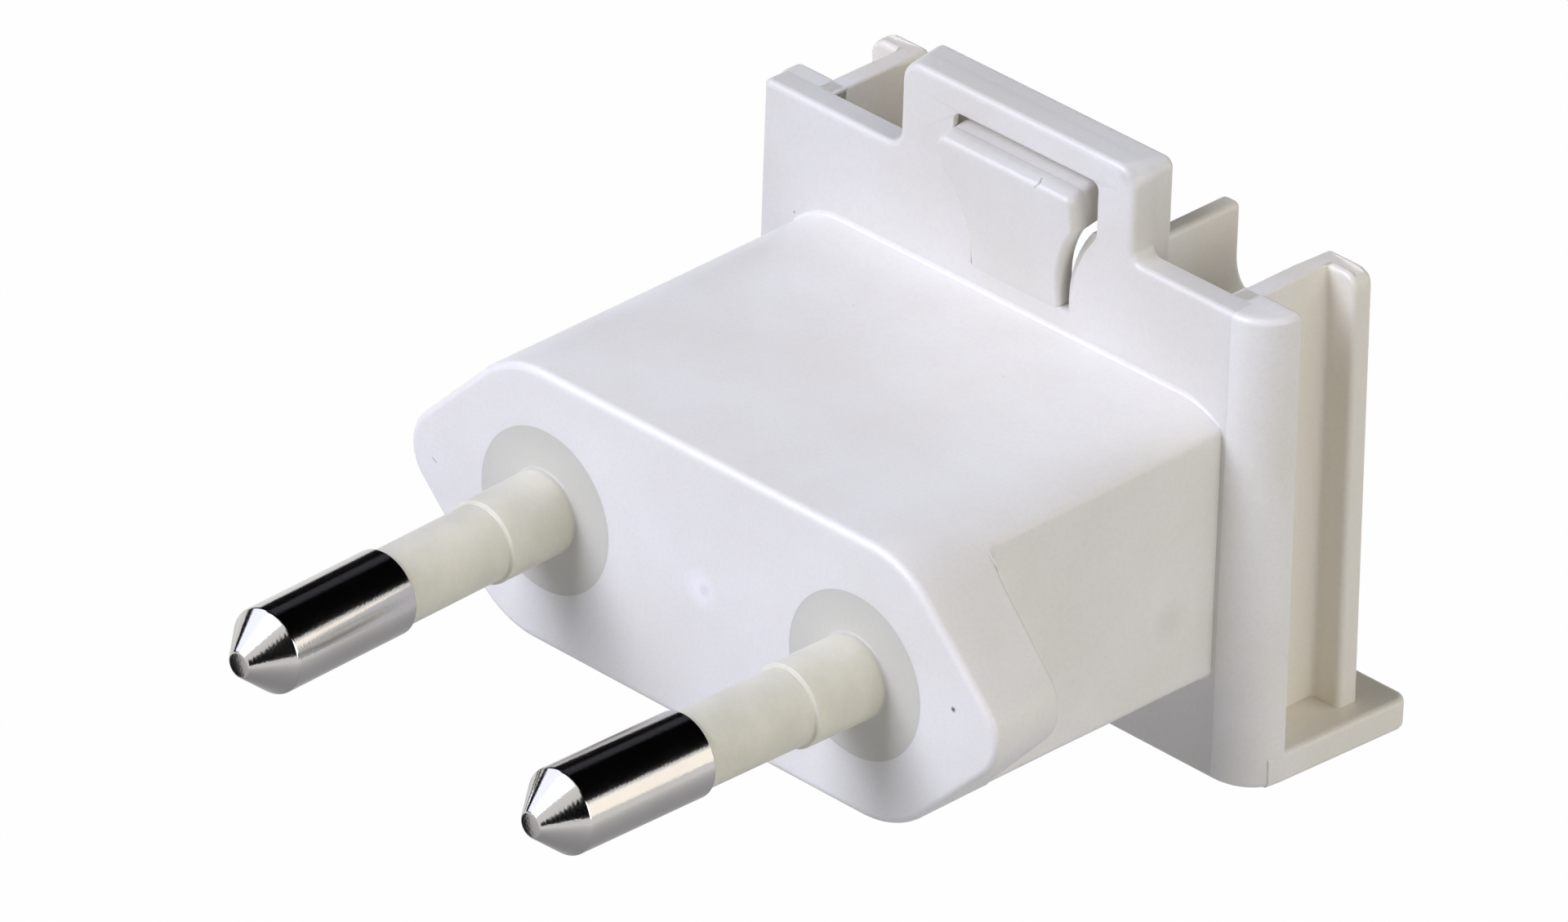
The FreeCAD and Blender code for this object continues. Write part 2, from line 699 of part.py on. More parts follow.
def make_contact(label, side):
    """One contact: a strip riveted to its pin, bent back and up into a bowed spring."""
    body = new_body(label)
    path = new_sketch(body, f"{label}_path", "YZ_Plane")
    flat = f"({WALL_BACK} + {size('strip_thickness')} / 2)"
    low = negative(size("strip_bend_level"))
    bend = size("strip_bend_radius")
    draw(path, [
        (flat, size("strip_top"), None),
        (flat, low, bend),
        (f"({flat} + {size('spring_foot')})", low, bend),
        (f"({flat} + {size('spring_reach')})", size("spring_crest_level"), size("spring_crest_radius")),
        (f"({flat} + {size('spring_tip_reach')})", size("spring_tip_level"), None),
    ], closed=False)
    section = new_sketch(body, f"{label}_section", "XY_Plane", size("strip_top"))
    half = f"({size('strip_width')} / 2)"
    back = f"({WALL_BACK} + {size('strip_thickness')})"
    draw(section, box_corners(negative(half), WALL_BACK, half, back))
    strip = body.newObject("PartDesign::AdditivePipe", f"{label}_strip")
    strip.Profile = section
    strip.Spine = path
    doc.recompute()
    hole = front_sketch(body, f"{label}_hole", WALL_BACK)
    hole_size = f"({size('rivet_diameter')} + 2 * {size('rivet_play')})"
    draw_circle(hole, "0", "0", hole_size)
    extrude(body, "Pocket", f"{label}_rivet_hole", hole, size("strip_thickness"))
    body.setExpression("Placement.Base.x", f"{side} * {RIVET_SIDE}")
    return body


def check(bodies):
    """Stop if any object failed or any sub-part isn't one valid solid."""
    failed = [item.Name for item in doc.Objects if {"Invalid", "Error"} & set(item.State)]
    if failed:
        raise RuntimeError(f"features failed: {failed}")
    for body in bodies:
        shape = body.Shape
        if shape.isNull() or not shape.isValid() or len(shape.Solids) != 1:
            raise RuntimeError(f"{body.Label} isn't one valid solid")


def main():
    """Build every sub-part, check them all and write one file for each."""
    fill_sheet()
    bodies = [make_housing(), make_bridge()]
    for side, word in ((-1, "left"), (1, "right")):
        bodies.append(make_pin(f"{word}_pin", side))
        bodies.append(make_contact(f"{word}_contact", side))
    doc.recompute()
    check(bodies)
    os.makedirs("parts", exist_ok=True)
    for body in bodies:
        body.Shape.exportStep(f"parts/{body.Label}.step")
        print(f"{body.Label}: {body.Shape.Volume:.1f} mm3")


main()
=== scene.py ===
"""Two-pin slide-on plug head: its moulded surfaces, finishes, light and camera.

Shapes are worked out in millimetres in the frame of the solids. X runs along the front face, Y from
the face back to the slide plate, Z is up, and the pins point to -Y. Meshes are written in metres.
"""

import logging
import math
from dataclasses import dataclass, field, replace
from enum import Enum
from typing import Callable, Sequence

import bmesh
import bpy
import numpy as np
from mathutils import Matrix, Vector, geometry


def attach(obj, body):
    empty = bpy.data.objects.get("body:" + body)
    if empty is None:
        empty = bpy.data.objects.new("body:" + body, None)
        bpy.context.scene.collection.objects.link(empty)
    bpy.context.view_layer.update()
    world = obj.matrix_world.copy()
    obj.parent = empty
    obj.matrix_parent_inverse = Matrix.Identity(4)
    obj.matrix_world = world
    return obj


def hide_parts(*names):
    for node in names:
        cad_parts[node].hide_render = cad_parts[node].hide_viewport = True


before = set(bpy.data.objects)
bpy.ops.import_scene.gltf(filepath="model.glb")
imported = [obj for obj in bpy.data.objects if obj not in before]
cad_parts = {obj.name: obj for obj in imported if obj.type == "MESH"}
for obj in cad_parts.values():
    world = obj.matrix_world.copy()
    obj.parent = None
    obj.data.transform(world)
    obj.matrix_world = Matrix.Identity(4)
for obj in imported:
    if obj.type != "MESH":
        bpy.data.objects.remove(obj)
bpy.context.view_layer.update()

log = logging.getLogger("plug_head")
MM = 0.001
BODY = "root"
# How far one piece reaches into its neighbour, in millimetres
SINK = 0.1
# How near a line the middle of a side has to be to count as lying on it, in millimetres
NEAR = 0.01
# Points nearer than this are welded, and edges shorter than this are taken out, in metres
WELD = 2e-7
NO_LENGTH = 1e-8
# Edges whose faces meet at more than this stay sharp
SHARP_DEGREES = 38
RGBA = {"data_type": "RGBA"}

Corner = tuple[float, float, float]
Shell = tuple[np.ndarray, list[list[int]]]
Place = Callable[[np.ndarray, np.ndarray, np.ndarray], np.ndarray]


class Side(Enum):
    """The two halves of the plug head, with the sign of X on each."""

    LEFT = -1
    RIGHT = 1

    @property
    def word(self) -> str:
        """The side's name in node and piece names."""
        return self.name.lower()


class Slot(Enum):
    """Names of the material slots."""

    WHITE = "white_moulding"
    CREAM = "cream_moulding"
    NICKEL = "nickel_pin"
    BRONZE = "bronze_spring"


# Outlines


def rounded_loop(corners: Sequence[Corner], arc_parts: int = 6, run_parts: int = 1) -> np.ndarray:
    """Outline through corners, each rounded by an arc that touches both of its sides.

    An arc of radius r starts r * tan(turn / 2) before its corner, and its points are the arc's centre
    plus r times (cos, sin) of evenly spaced angles. Equal part counts give loops that match.

    Args:
        corners: (x, y, radius) of each corner, in order round the outline.
        arc_parts: pieces that each arc is divided into.
        run_parts: pieces that each straight run is divided into.

    Returns:
        The loop's points, shape (n, 2).
    """
    points = np.array([corner[:2] for corner in corners], float)
    arcs = []
    for i, corner in enumerate(corners):
        along_in = points[i] - points[i - 1]
        along_out = points[(i + 1) % len(points)] - points[i]
        along_in, along_out = along_in / np.hypot(*along_in), along_out / np.hypot(*along_out)
        cross = along_in[0] * along_out[1] - along_in[1] * along_out[0]
        turn = math.atan2(cross, along_in @ along_out)
        radius = corner[2]
        if radius <= 0:
            arcs.append(points[i][None])
            continue
        start = points[i] - along_in * radius * math.tan(abs(turn) / 2)
        centre = start + np.array([-along_in[1], along_in[0]]) * radius * math.copysign(1, turn)
        first = math.atan2(*(start - centre)[::-1])
        angle = first + np.linspace(0, turn, arc_parts + 1)
        arcs.append(centre + radius * np.stack((np.cos(angle), np.sin(angle)), 1))
    share = np.linspace(0, 1, run_parts + 1)[1:-1, None]
    parts = []
    for i, arc in enumerate(arcs):
        after = arcs[(i + 1) % len(arcs)][0]
        parts += [arc, arc[-1] + share * (after - arc[-1])]
    return np.concatenate(parts)


def circle(x: float, y: float, radius: float, parts: int = 72) -> np.ndarray:
    """Circle as a loop of evenly spaced points: centre plus radius times (cos, sin) of the angle."""
    angle = np.linspace(0, 2 * math.pi, parts, endpoint=False)
    return np.stack((x + radius * np.cos(angle), y + radius * np.sin(angle)), 1)


def middle_box(half_width: float, half_height: float, corner: float) -> np.ndarray:
    """Rectangle about the middle of the face, with rounded corners, anticlockwise."""
    return rounded_loop([(-half_width, -half_height, corner), (half_width, -half_height, corner),
                         (half_width, half_height, corner), (-half_width, half_height, corner)])


def side_middles(loop: np.ndarray) -> np.ndarray:
    """Middle point of each side of a loop. A side has the index of the point that it starts from."""
    return (loop + np.roll(loop, -1, 0)) / 2


def inset(loop: np.ndarray, distance: float | np.ndarray) -> np.ndarray:
    """Loop moved inwards, each side by its own distance.

    A side lies on the line normal . p = level, so moved in by d it lies on normal . p = level - d.
    Each new corner is where the moved lines of its two sides cross. Where they are nearly parallel it
    moves along their common normal by the mean of their distances.

    Args:
        loop: points (n, 2), anticlockwise for an outer outline and clockwise for a hole.
        distance: one distance, or one for each side, which starts at the point of the same index.

    Returns:
        The moved points, shape (n, 2).
    """
    nearly_parallel = 0.3
    run = np.roll(loop, -1, 0) - loop
    normal = np.stack((run[:, 1], -run[:, 0]), 1) / np.linalg.norm(run, axis=1, keepdims=True)
    step = np.broadcast_to(np.asarray(distance, float), len(loop))
    level = (normal * loop).sum(1) - step
    before, level_before = np.roll(normal, 1, 0), np.roll(level, 1)
    cross = before[:, 0] * normal[:, 1] - before[:, 1] * normal[:, 0]
    flat = np.abs(cross) < nearly_parallel
    safe = np.where(flat, 1.0, cross)
    x = (level_before * normal[:, 1] - level * before[:, 1]) / safe
    y = (before[:, 0] * level - normal[:, 0] * level_before) / safe
    mitre = (before + normal) / (1 + (before * normal).sum(1, keepdims=True))
    straight = loop - mitre * ((step + np.roll(step, 1)) / 2)[:, None]
    return np.where(flat[:, None], straight, np.stack((x, y), 1))


def blend(first: np.ndarray, last: np.ndarray, share: float) -> np.ndarray:
    """Point-by-point mix of two matching loops."""
    return first + (last - first) * share


# Shells


def face_xz(a: np.ndarray, b: np.ndarray, depth: np.ndarray) -> np.ndarray:
    """Outline drawn on the front: a is X, b is Z and depth is Y."""
    return np.stack((a, depth, b), -1)


def plan_xy(a: np.ndarray, b: np.ndarray, depth: np.ndarray) -> np.ndarray:
    """Outline drawn in plan: a is X, b is Y and depth is Z."""
    return np.stack((a, b, depth), -1)


def side_yz(a: np.ndarray, b: np.ndarray, depth: np.ndarray) -> np.ndarray:
    """Outline drawn from the side: a is Y, b is Z and depth is X."""
    return np.stack((depth, a, b), -1)


def ring(loop: np.ndarray, depth: float | np.ndarray) -> np.ndarray:
    """Loop with its depth added as a third coordinate."""
    return np.column_stack((loop, np.broadcast_to(depth, len(loop))))


def skin(rings: np.ndarray, place: Place) -> Shell:
    """Closed band of quads over rings of equal length.

    The surface is a function of the place round the ring and of the ring's own number.

    Args:
        rings: (rings, points, 3) of the two outline coordinates and the depth.
        place: turns the three coordinates into X, Y, Z.

    Returns:
        Vertices and faces.
    """
    count, size = rings.shape[:2]
    grid = np.arange(count * size).reshape(count, size)
    on = np.roll(grid, -1, 1)
    quads = np.stack((grid[:-1], on[:-1], on[1:], grid[1:]), -1).reshape(-1, 4)
    return place(rings[..., 0], rings[..., 1], rings[..., 2]).reshape(-1, 3), quads.tolist()


def lid(loops: Sequence[np.ndarray], depth: float, place: Place) -> Shell:
    """Flat cap between an outer loop and its holes, as triangles that use the loops' own points.

    Args:
        loops: the outer loop first, then its holes.
        depth: where the cap lies.
        place: turns outline coordinates and depth into X, Y, Z.

    Returns:
        Vertices and faces.
    """
    flat = [[Vector((x, y, 0)) for x, y in loop.tolist()] for loop in loops]
    triangles = geometry.tessellate_polygon(flat)
    points = np.concatenate(loops)
    faces = [list(triangle) for triangle in triangles]
    return place(points[:, 0], points[:, 1], np.full(len(points), depth)), faces


@dataclass
class Slab:
    """Moulded plate: an outline carried from one depth to another, with rounded rims and holes.

    At angle t of a rim's quarter arc the outline is inset by r * (1 - sin t) and has gone
    r * (1 - cos t) deeper than the flat end. Between the ends it may change from one outline
    to a matching one, for draft.
    """

    first: np.ndarray
    low: float
    high: float
    last: np.ndarray | None = None
    rim_low: float | np.ndarray = 0.3
    rim_high: float | np.ndarray = 0.3
    holes: Sequence[np.ndarray] = ()
    arc_parts: int = 4
    place: Place = face_xz

    def at(self, depth: float) -> np.ndarray:
        """The outline at a depth."""
        last = self.first if self.last is None else self.last
        return blend(self.first, last, (depth - self.low) / (self.high - self.low))

    def rim_rings(self, end: float, inward: float, rim: float | np.ndarray) -> list[np.ndarray]:
        """Rings of one rim's quarter arc, from the flat end to the side.

        Args:
            end: depth of the flat end.
            inward: 1 where the slab lies deeper than the end, else -1.
            rim: radius, one for all sides or one for each.

        Returns:
            The rings, each with its depth.
        """
        each = np.broadcast_to(np.asarray(rim, float), len(self.first))
        largest = np.maximum(each, np.roll(each, 1))
        rings = []
        for t in np.linspace(0, math.pi / 2, self.arc_parts + 1):
            deep = inward * largest * (1 - math.cos(t))
            base = self.at(end + inward * float(largest.mean()) * (1 - math.cos(t)))
            rings.append(ring(inset(base, each * (1 - math.sin(t))), end + deep))
        return rings

    def shells(self) -> list[Shell]:
        """Make the side, both ends and the walls of the holes.

        Returns:
            The shells, which share their edge points.
        """
        low, high = self.rim_rings(self.low, 1, self.rim_low), self.rim_rings(self.high, -1, self.rim_high)
        side = np.stack(low + high[::-1])
        walls = [skin(np.stack((ring(hole, self.low), ring(hole, self.high))), self.place) for hole in self.holes]
        ends = [lid([low[0][:, :2], *self.holes], self.low, self.place),
                lid([high[0][:, :2], *self.holes], self.high, self.place)]
        return [skin(side, self.place), *walls, *ends]


def lathe(profile: np.ndarray, x: float, lean: float, parts: int = 96) -> Shell:
    """Turned piece: the profile's radius carried round an axis in the plane of X and Y.

    A point at radius r and place s along the axis goes to the axis point plus r * (cos a, sin a)
    across it. The axis leans from Y towards X by its slope.

    Args:
        profile: (radius, place along the axis) pairs, from end to end.
        x: where the axis crosses the front face.
        lean: slope of the axis, X for each Y.
        parts: divisions round the axis.

    Returns:
        Vertices and faces.
    """
    angle = np.linspace(0, 2 * math.pi, parts, endpoint=False)
    radius, along = profile[:, :1], profile[:, 1:]
    across, up = radius * np.cos(angle), radius * np.sin(angle)
    tilt = math.atan(lean)
    rings = np.stack((x + along * math.sin(tilt) + across * math.cos(tilt),
                      along * math.cos(tilt) - across * math.sin(tilt), up), -1)
    return skin(rings, plan_xy)


def rounded_profile(corners: Sequence[Corner], parts: int = 4) -> np.ndarray:
    """Open line with its inner corners rounded, for a turned piece.

    The line is closed by two far corners, rounded as a loop, and cut off at its last corner.

    Args:
        corners: (radius, place along the axis, rounding) of each corner, from end to end.
        parts: pieces that each arc is divided into.

    Returns:
        The line's points, shape (n, 2).
    """
    first, last = corners[0], corners[-1]
    closing = ((last[0] - 1.0, last[1] + 5.0, 0.0), (first[0] - 1.0, first[1] - 5.0, 0.0))
    loop = rounded_loop([*corners, *closing], parts)
    stop = int(np.argmin(np.abs(loop - np.array(last[:2])).sum(1)))
    return loop[: stop + 1]


# Finishes


def colour(code: str) -> tuple[float, float, float, float]:
    """Turn an sRGB hex colour into a linear one.

    Args:
        code: "#RRGGBB".

    Returns:
        Linear red, green, blue and full alpha.
    """
    parts = np.array([int(code[i:i + 2], 16) for i in (1, 3, 5)]) / 255
    linear = np.where(parts <= 0.04045, parts / 12.92, ((parts + 0.055) / 1.055) ** 2.4)
    return (*linear.tolist(), 1.0)


def add(tree: bpy.types.NodeTree, kind: str, settings: dict | None = None, inputs: dict | None = None,
        links: dict | None = None) -> bpy.types.Node:
    """Add a node with its settings, its constant inputs and its links.

    Args:
        tree: the material's or world's nodes.
        kind: the node's type without "ShaderNode".
        settings: attributes of the node.
        inputs: input name or number to constant.
        links: input name or number to the output that feeds it.

    Returns:
        The node.
    """
    node = tree.nodes.new(f"ShaderNode{kind}")
    for name, value in (settings or {}).items():
        setattr(node, name, value)
    for name, value in (inputs or {}).items():
        node.inputs[name].default_value = value
    for name, output in (links or {}).items():
        tree.links.new(output, node.inputs[name])
    return node


def bare_material(name: str) -> bpy.types.Material:
    """Make a material without nodes.

    Args:
        name: the material's name.

    Returns:
        The material, with an empty tree.
    """
    made = bpy.data.materials.new(name)
    made.use_nodes = True
    made.node_tree.nodes.clear()
    return made


@dataclass(frozen=True)
class Spot:
    """A small round mark on a surface, in millimetres: where it is, how wide, its tone and its strength."""

    place: tuple[float, float, float]
    radius: float
    tone: str
    strength: float = 1.0

    def cover(self, tree: bpy.types.NodeTree, where: bpy.types.NodeSocket,
              tint: bpy.types.NodeSocket) -> bpy.types.NodeSocket:
        """Mix the mark over a colour. It fades from full at 0.3 of its radius to none at its radius.

        Args:
            tree: the material's nodes.
            where: the place on the piece.
            tint: the colour under the mark.

        Returns:
            The colour with the mark.
        """
        away = add(tree, "VectorMath", {"operation": "DISTANCE"}, {1: [c * MM for c in self.place]}, {0: where})
        share = add(tree, "MapRange", inputs={"From Min": self.radius * MM, "From Max": self.radius * MM * 0.3,
                                              "To Max": self.strength}, links={"Value": away.outputs["Value"]})
        return add(tree, "Mix", RGBA, {7: colour(self.tone)}, {0: share.outputs[0], 6: tint}).outputs[2]


@dataclass(frozen=True)
class Hair:
    """A fine hair stuck to a surface, in millimetres: a bent line through points, with its width."""

    points: tuple[tuple[float, float, float], ...]
    width: float = 0.05
    tone: str = "#8C8B8E"
    strength: float = 0.55

    def cover(self, tree: bpy.types.NodeTree, where: bpy.types.NodeSocket,
              tint: bpy.types.NodeSocket) -> bpy.types.NodeSocket:
        """Mix the hair over a colour.

        From a start a along a run d, the nearest point to p is a + d * t, where t is (p - a) . d / d . d
        held between 0 and 1. The hair shows where the distance to it is under the width.

        Args:
            tree: the material's nodes.
            where: the place on the piece.
            tint: the colour under the hair.

        Returns:
            The colour with the hair.
        """
        for start, end in zip(self.points, self.points[1:]):
            first, run = np.array(start) * MM, (np.array(end) - np.array(start)) * MM
            past = add(tree, "VectorMath", {"operation": "SUBTRACT"}, {1: first.tolist()}, {0: where}).outputs[0]
            along = add(tree, "VectorMath", {"operation": "DOT_PRODUCT"}, {1: (run / (run @ run)).tolist()},
                        {0: past}).outputs["Value"]
            held = add(tree, "MapRange", links={"Value": along}).outputs[0]
            near = add(tree, "VectorMath", {"operation": "SCALE"}, {0: run.tolist()}, {"Scale": held}).outputs[0]
            away = add(tree, "VectorMath", {"operation": "DISTANCE"}, links={0: past, 1: near}).outputs["Value"]
            share = add(tree, "MapRange", inputs={"From Min": self.width * MM, "From Max": self.width * MM * 0.4,
                                                  "To Max": self.strength}, links={"Value": away}).outputs[0]
            tint = add(tree, "Mix", RGBA, {7: colour(self.tone)}, {0: share, 6: tint}).outputs[2]
        return tint


@dataclass(frozen=True)
class Finish:
    """What a surface is made of and how it was made."""

    name: str
    slot: Slot

    def build(self, tree: bpy.types.NodeTree) -> bpy.types.Node:
        """Make the nodes and return the shader."""
        raise NotImplementedError

    def material(self) -> bpy.types.Material:
        """Give the finish's material, made once.

        Returns:
            The material.
        """
        found = bpy.data.materials.get(self.name)
        if found:
            return found
        made = bare_material(self.name)
        shader = self.build(made.node_tree)
        add(made.node_tree, "OutputMaterial", links={"Surface": shader.outputs[0]})
        return made


@dataclass(frozen=True)
class MouldedPlastic(Finish):
    """Injection-moulded plastic: satin skin of the mould, faint flow mottling and a few marks.

    The colour wanders between base and shade, and turns to a darker tone between two depths Y
    (painted_shade_by_depth). That darker tone is painted shade, standing in for light that falls off there, not a
    colour of the plastic.
    The real skin's grain is about 0.03 mm wide. It is drawn coarser here, so that it shows at all.
    """

    base: str = "#F0ECE4"
    shade: str = "#EBE6DC"
    mottle_mm: float = 6.0
    grain_mm: float = 0.18
    grain_height_mm: float = 0.005
    speckle: float = 0.06
    speckle_tone: str = "#A8A49C"
    wave_mm: float = 5.0
    wave_height_mm: float = 0.004
    roughness: float = 0.36
    roughness_spread: tuple[float, float] = (-0.04, 0.06)
    ior: float = 1.54
    scatter: float = 0.12
    scatter_mm: float = 0.8
    spots: tuple[Spot, ...] = ()
    hairs: tuple[Hair, ...] = ()
    # Painted shade: between the two depths Y the colour turns to this darker, warmer tone. On the housing it
    # stands in for the shade and warm bounced light among the walls behind the plate.
    painted_shade_by_depth: tuple[float, float, str] = (21.5, 23.5, "#EBE4D5")

    def tone(self, tree: bpy.types.NodeTree, where: bpy.types.NodeSocket, mottle: bpy.types.NodeSocket,
             grain: bpy.types.NodeSocket) -> bpy.types.NodeSocket:
        """Mix the colour: slow mottling, the painted shade with depth, the marks, then the grain's speckle.

        Args:
            tree: the material's nodes.
            where: the place on the piece.
            mottle: slow noise.
            grain: fine noise.

        Returns:
            The colour.
        """
        spread = add(tree, "MapRange", inputs={"From Min": 0.35, "From Max": 0.65}, links={"Value": mottle})
        tint = add(tree, "Mix", RGBA, {6: colour(self.base), 7: colour(self.shade)},
                   {0: spread.outputs[0]}).outputs[2]
        # Painted shade: deeper in Y the colour turns darker, in place of the shade that falls there
        depth = add(tree, "SeparateXYZ", links={0: where}).outputs["Y"]
        first, last, tone = self.painted_shade_by_depth
        far = add(tree, "MapRange", inputs={"From Min": first * MM, "From Max": last * MM},
                  links={"Value": depth}).outputs[0]
        tint = add(tree, "Mix", RGBA, {7: colour(tone)}, {0: far, 6: tint}).outputs[2]
        for mark in (*self.spots, *self.hairs):
            tint = mark.cover(tree, where, tint)
        speck = add(tree, "MapRange", inputs={"From Min": 0.4, "From Max": 0.7, "To Max": self.speckle},
                    links={"Value": grain}).outputs[0]
        return add(tree, "Mix", RGBA, {7: colour(self.speckle_tone)}, {0: speck, 6: tint}).outputs[2]

    def relief(self, tree: bpy.types.NodeTree, where: bpy.types.NodeSocket,
               grain: bpy.types.NodeSocket) -> bpy.types.NodeSocket:
        """Bump the surface with the mould's slow waviness and, on it, the fine grain.

        Args:
            tree: the material's nodes.
            where: the place on the piece.
            grain: fine noise.

        Returns:
            The normal.
        """
        wave = add(tree, "TexNoise", inputs={"Scale": 1 / (self.wave_mm * MM), "Detail": 1.0},
                   links={"Vector": where}).outputs["Fac"]
        slow = add(tree, "Bump", inputs={"Distance": self.wave_height_mm * MM, "Strength": 1.0},
                   links={"Height": wave}).outputs[0]
        return add(tree, "Bump", inputs={"Distance": self.grain_height_mm * MM, "Strength": 1.0},
                   links={"Height": grain, "Normal": slow}).outputs[0]

    def build(self, tree: bpy.types.NodeTree) -> bpy.types.Node:
        """Make the nodes.

        Args:
            tree: the material's nodes.

        Returns:
            The shader.
        """
        where = add(tree, "TexCoord").outputs["Object"]
        mottle = add(tree, "TexNoise", inputs={"Scale": 1 / (self.mottle_mm * MM), "Detail": 3.0},
                     links={"Vector": where}).outputs["Fac"]
        grain = add(tree, "TexNoise", inputs={"Scale": 1 / (self.grain_mm * MM), "Detail": 2.0},
                    links={"Vector": where}).outputs["Fac"]
        smooth, dull = self.roughness_spread
        rough = add(tree, "MapRange", inputs={"To Min": self.roughness + smooth, "To Max": self.roughness + dull},
                    links={"Value": mottle}).outputs[0]
        return add(tree, "BsdfPrincipled",
                   inputs={"IOR": self.ior, "Subsurface Weight": self.scatter,
                           "Subsurface Scale": self.scatter_mm * MM, "Subsurface Radius": (1.0, 0.85, 0.65)},
                   links={"Base Color": self.tone(tree, where, mottle, grain), "Roughness": rough,
                          "Normal": self.relief(tree, where, grain)})


@dataclass(frozen=True)
class TurnedMetal(Finish):
    """Worked metal: fine tool rings round the axis and a slightly uneven, pebbled plating.

    Blender's wave bands repeat every 0.314 / scale. Real tool rings are about 0.05 mm apart, and these
    are drawn coarser, so that they show.
    """

    base: str = "#C9C7C5"
    tint: str = "#BEBAB6"
    cloud_mm: float = 2.5
    ring_mm: float = 0.16
    ring_height_mm: float = 0.0006
    pebble_mm: float = 0.14
    pebble_height_mm: float = 0.0035
    roughness: float = 0.12
    roughness_share: tuple[float, float] = (0.7, 1.4)

    def build(self, tree: bpy.types.NodeTree) -> bpy.types.Node:
        """Make rings along Y and a fine pebble in the height, and slow change in colour and roughness.

        Args:
            tree: the material's nodes.

        Returns:
            The shader.
        """
        where = add(tree, "TexCoord").outputs["Object"]
        cloud = add(tree, "TexNoise", inputs={"Scale": 1 / (self.cloud_mm * MM), "Detail": 4.0},
                    links={"Vector": where}).outputs["Fac"]
        tint = add(tree, "Mix", RGBA, {6: colour(self.base), 7: colour(self.tint)}, {0: cloud}).outputs[2]
        rings = add(tree, "TexWave", {"wave_type": "BANDS", "bands_direction": "Y"},
                    {"Scale": 0.314 / (self.ring_mm * MM), "Distortion": 1.5, "Detail": 2.0},
                    {"Vector": where}).outputs["Fac"]
        pebble = add(tree, "TexNoise", inputs={"Scale": 1 / (self.pebble_mm * MM), "Detail": 3.0},
                     links={"Vector": where}).outputs["Fac"]
        rough = add(tree, "Bump", inputs={"Distance": self.pebble_height_mm * MM},
                    links={"Height": pebble}).outputs[0]
        turned = add(tree, "Bump", inputs={"Distance": self.ring_height_mm * MM},
                     links={"Height": rings, "Normal": rough}).outputs[0]
        bright, dull = self.roughness_share
        gloss = add(tree, "MapRange", inputs={"To Min": self.roughness * bright, "To Max": self.roughness * dull},
                    links={"Value": cloud}).outputs[0]
        return add(tree, "BsdfPrincipled", inputs={"Metallic": 1.0},
                   links={"Base Color": tint, "Roughness": gloss, "Normal": turned})


# Polycarbonate and ABS blend from a spark-eroded mould: cool white, satin, slightly translucent edges
WHITE_PLASTIC = MouldedPlastic(
    "moulded_satin_white_pc_abs", Slot.WHITE,
    spots=(
        # The mould's gate in the middle of the face: a pale ring with a darker middle
        Spot((0.1, 0.0, 0.2), 1.1, "#FBF9F6", 0.6), Spot((0.35, 0.0, 0.25), 0.4, "#DAD6D0", 0.45),
        # A round mark on the right flank, and a smear on the arch
        Spot((12.9, 16.2, -2.3), 1.2, "#DCD6CB", 0.45), Spot((6.6, 19.0, 16.2), 0.6, "#AFACA6", 0.3),
        # Dark specks
        Spot((-4.76, 14.07, 7.0), 0.11, "#857F77"), Spot((4.03, 14.42, 7.0), 0.11, "#857F77"),
        Spot((15.4, 0.0, 0.9), 0.16, "#57514A"), Spot((-13.3, 19.0, 6.2), 0.1, "#8B857D", 0.7),
        Spot((8.4, 19.2, 9.6), 0.12, "#6B645C")),
    hairs=(
        Hair(((-16.55, 0.0, -0.34), (-16.29, 0.0, -0.45))),
        Hair(((2.12, 17.99, 14.19), (2.26, 18.09, 14.36), (2.25, 18.2, 14.41), (2.09, 18.46, 14.45)), 0.06)))
# The same plastic on the slide plate, arch and tongue, painted a touch darker: painted shade for faces that lie
# further back behind the body and get less light
SHADED_WHITE_PLASTIC = replace(WHITE_PLASTIC, name="moulded_satin_white_pc_abs_painted_shade", base="#E4E0D8", shade="#DFDACF")
# Polyamide of the pin carrier, moulded first: warmer, duller and more mottled than the housing. Its flush discs
# are painted darker than its sleeves: painted shade on the discs, which lie in the shade of the pins
CREAM_PLASTIC = MouldedPlastic(
    "moulded_cream_polyamide", Slot.CREAM, base="#E3DECB", shade="#D8D4C0", mottle_mm=2.2, grain_mm=0.2,
    grain_height_mm=0.004, roughness=0.42, ior=1.53, scatter=0.15, painted_shade_by_depth=(-0.35, -0.05, "#D2CEC0"))
# Turned brass with bright nickel: sharp dark and light bands, with a little orange peel
NICKEL_BRASS = TurnedMetal("turned_brass_bright_nickel_plate", Slot.NICKEL)
# Rolled phosphor bronze strip: warm, brushed along its length
BRONZE_STRIP = TurnedMetal("rolled_phosphor_bronze_strip", Slot.BRONZE, base="#C8A27A", tint="#B48E66",
                           ring_mm=0.3, roughness=0.28)


def put_in_scene(name: str, data: bpy.types.ID) -> bpy.types.Object:
    """Make an object at the origin.

    Args:
        name: the object's name.
        data: its mesh, lamp or camera.

    Returns:
        The object, linked to the scene.
    """
    made = bpy.data.objects.new(name, data)
    bpy.context.scene.collection.objects.link(made)
    return made


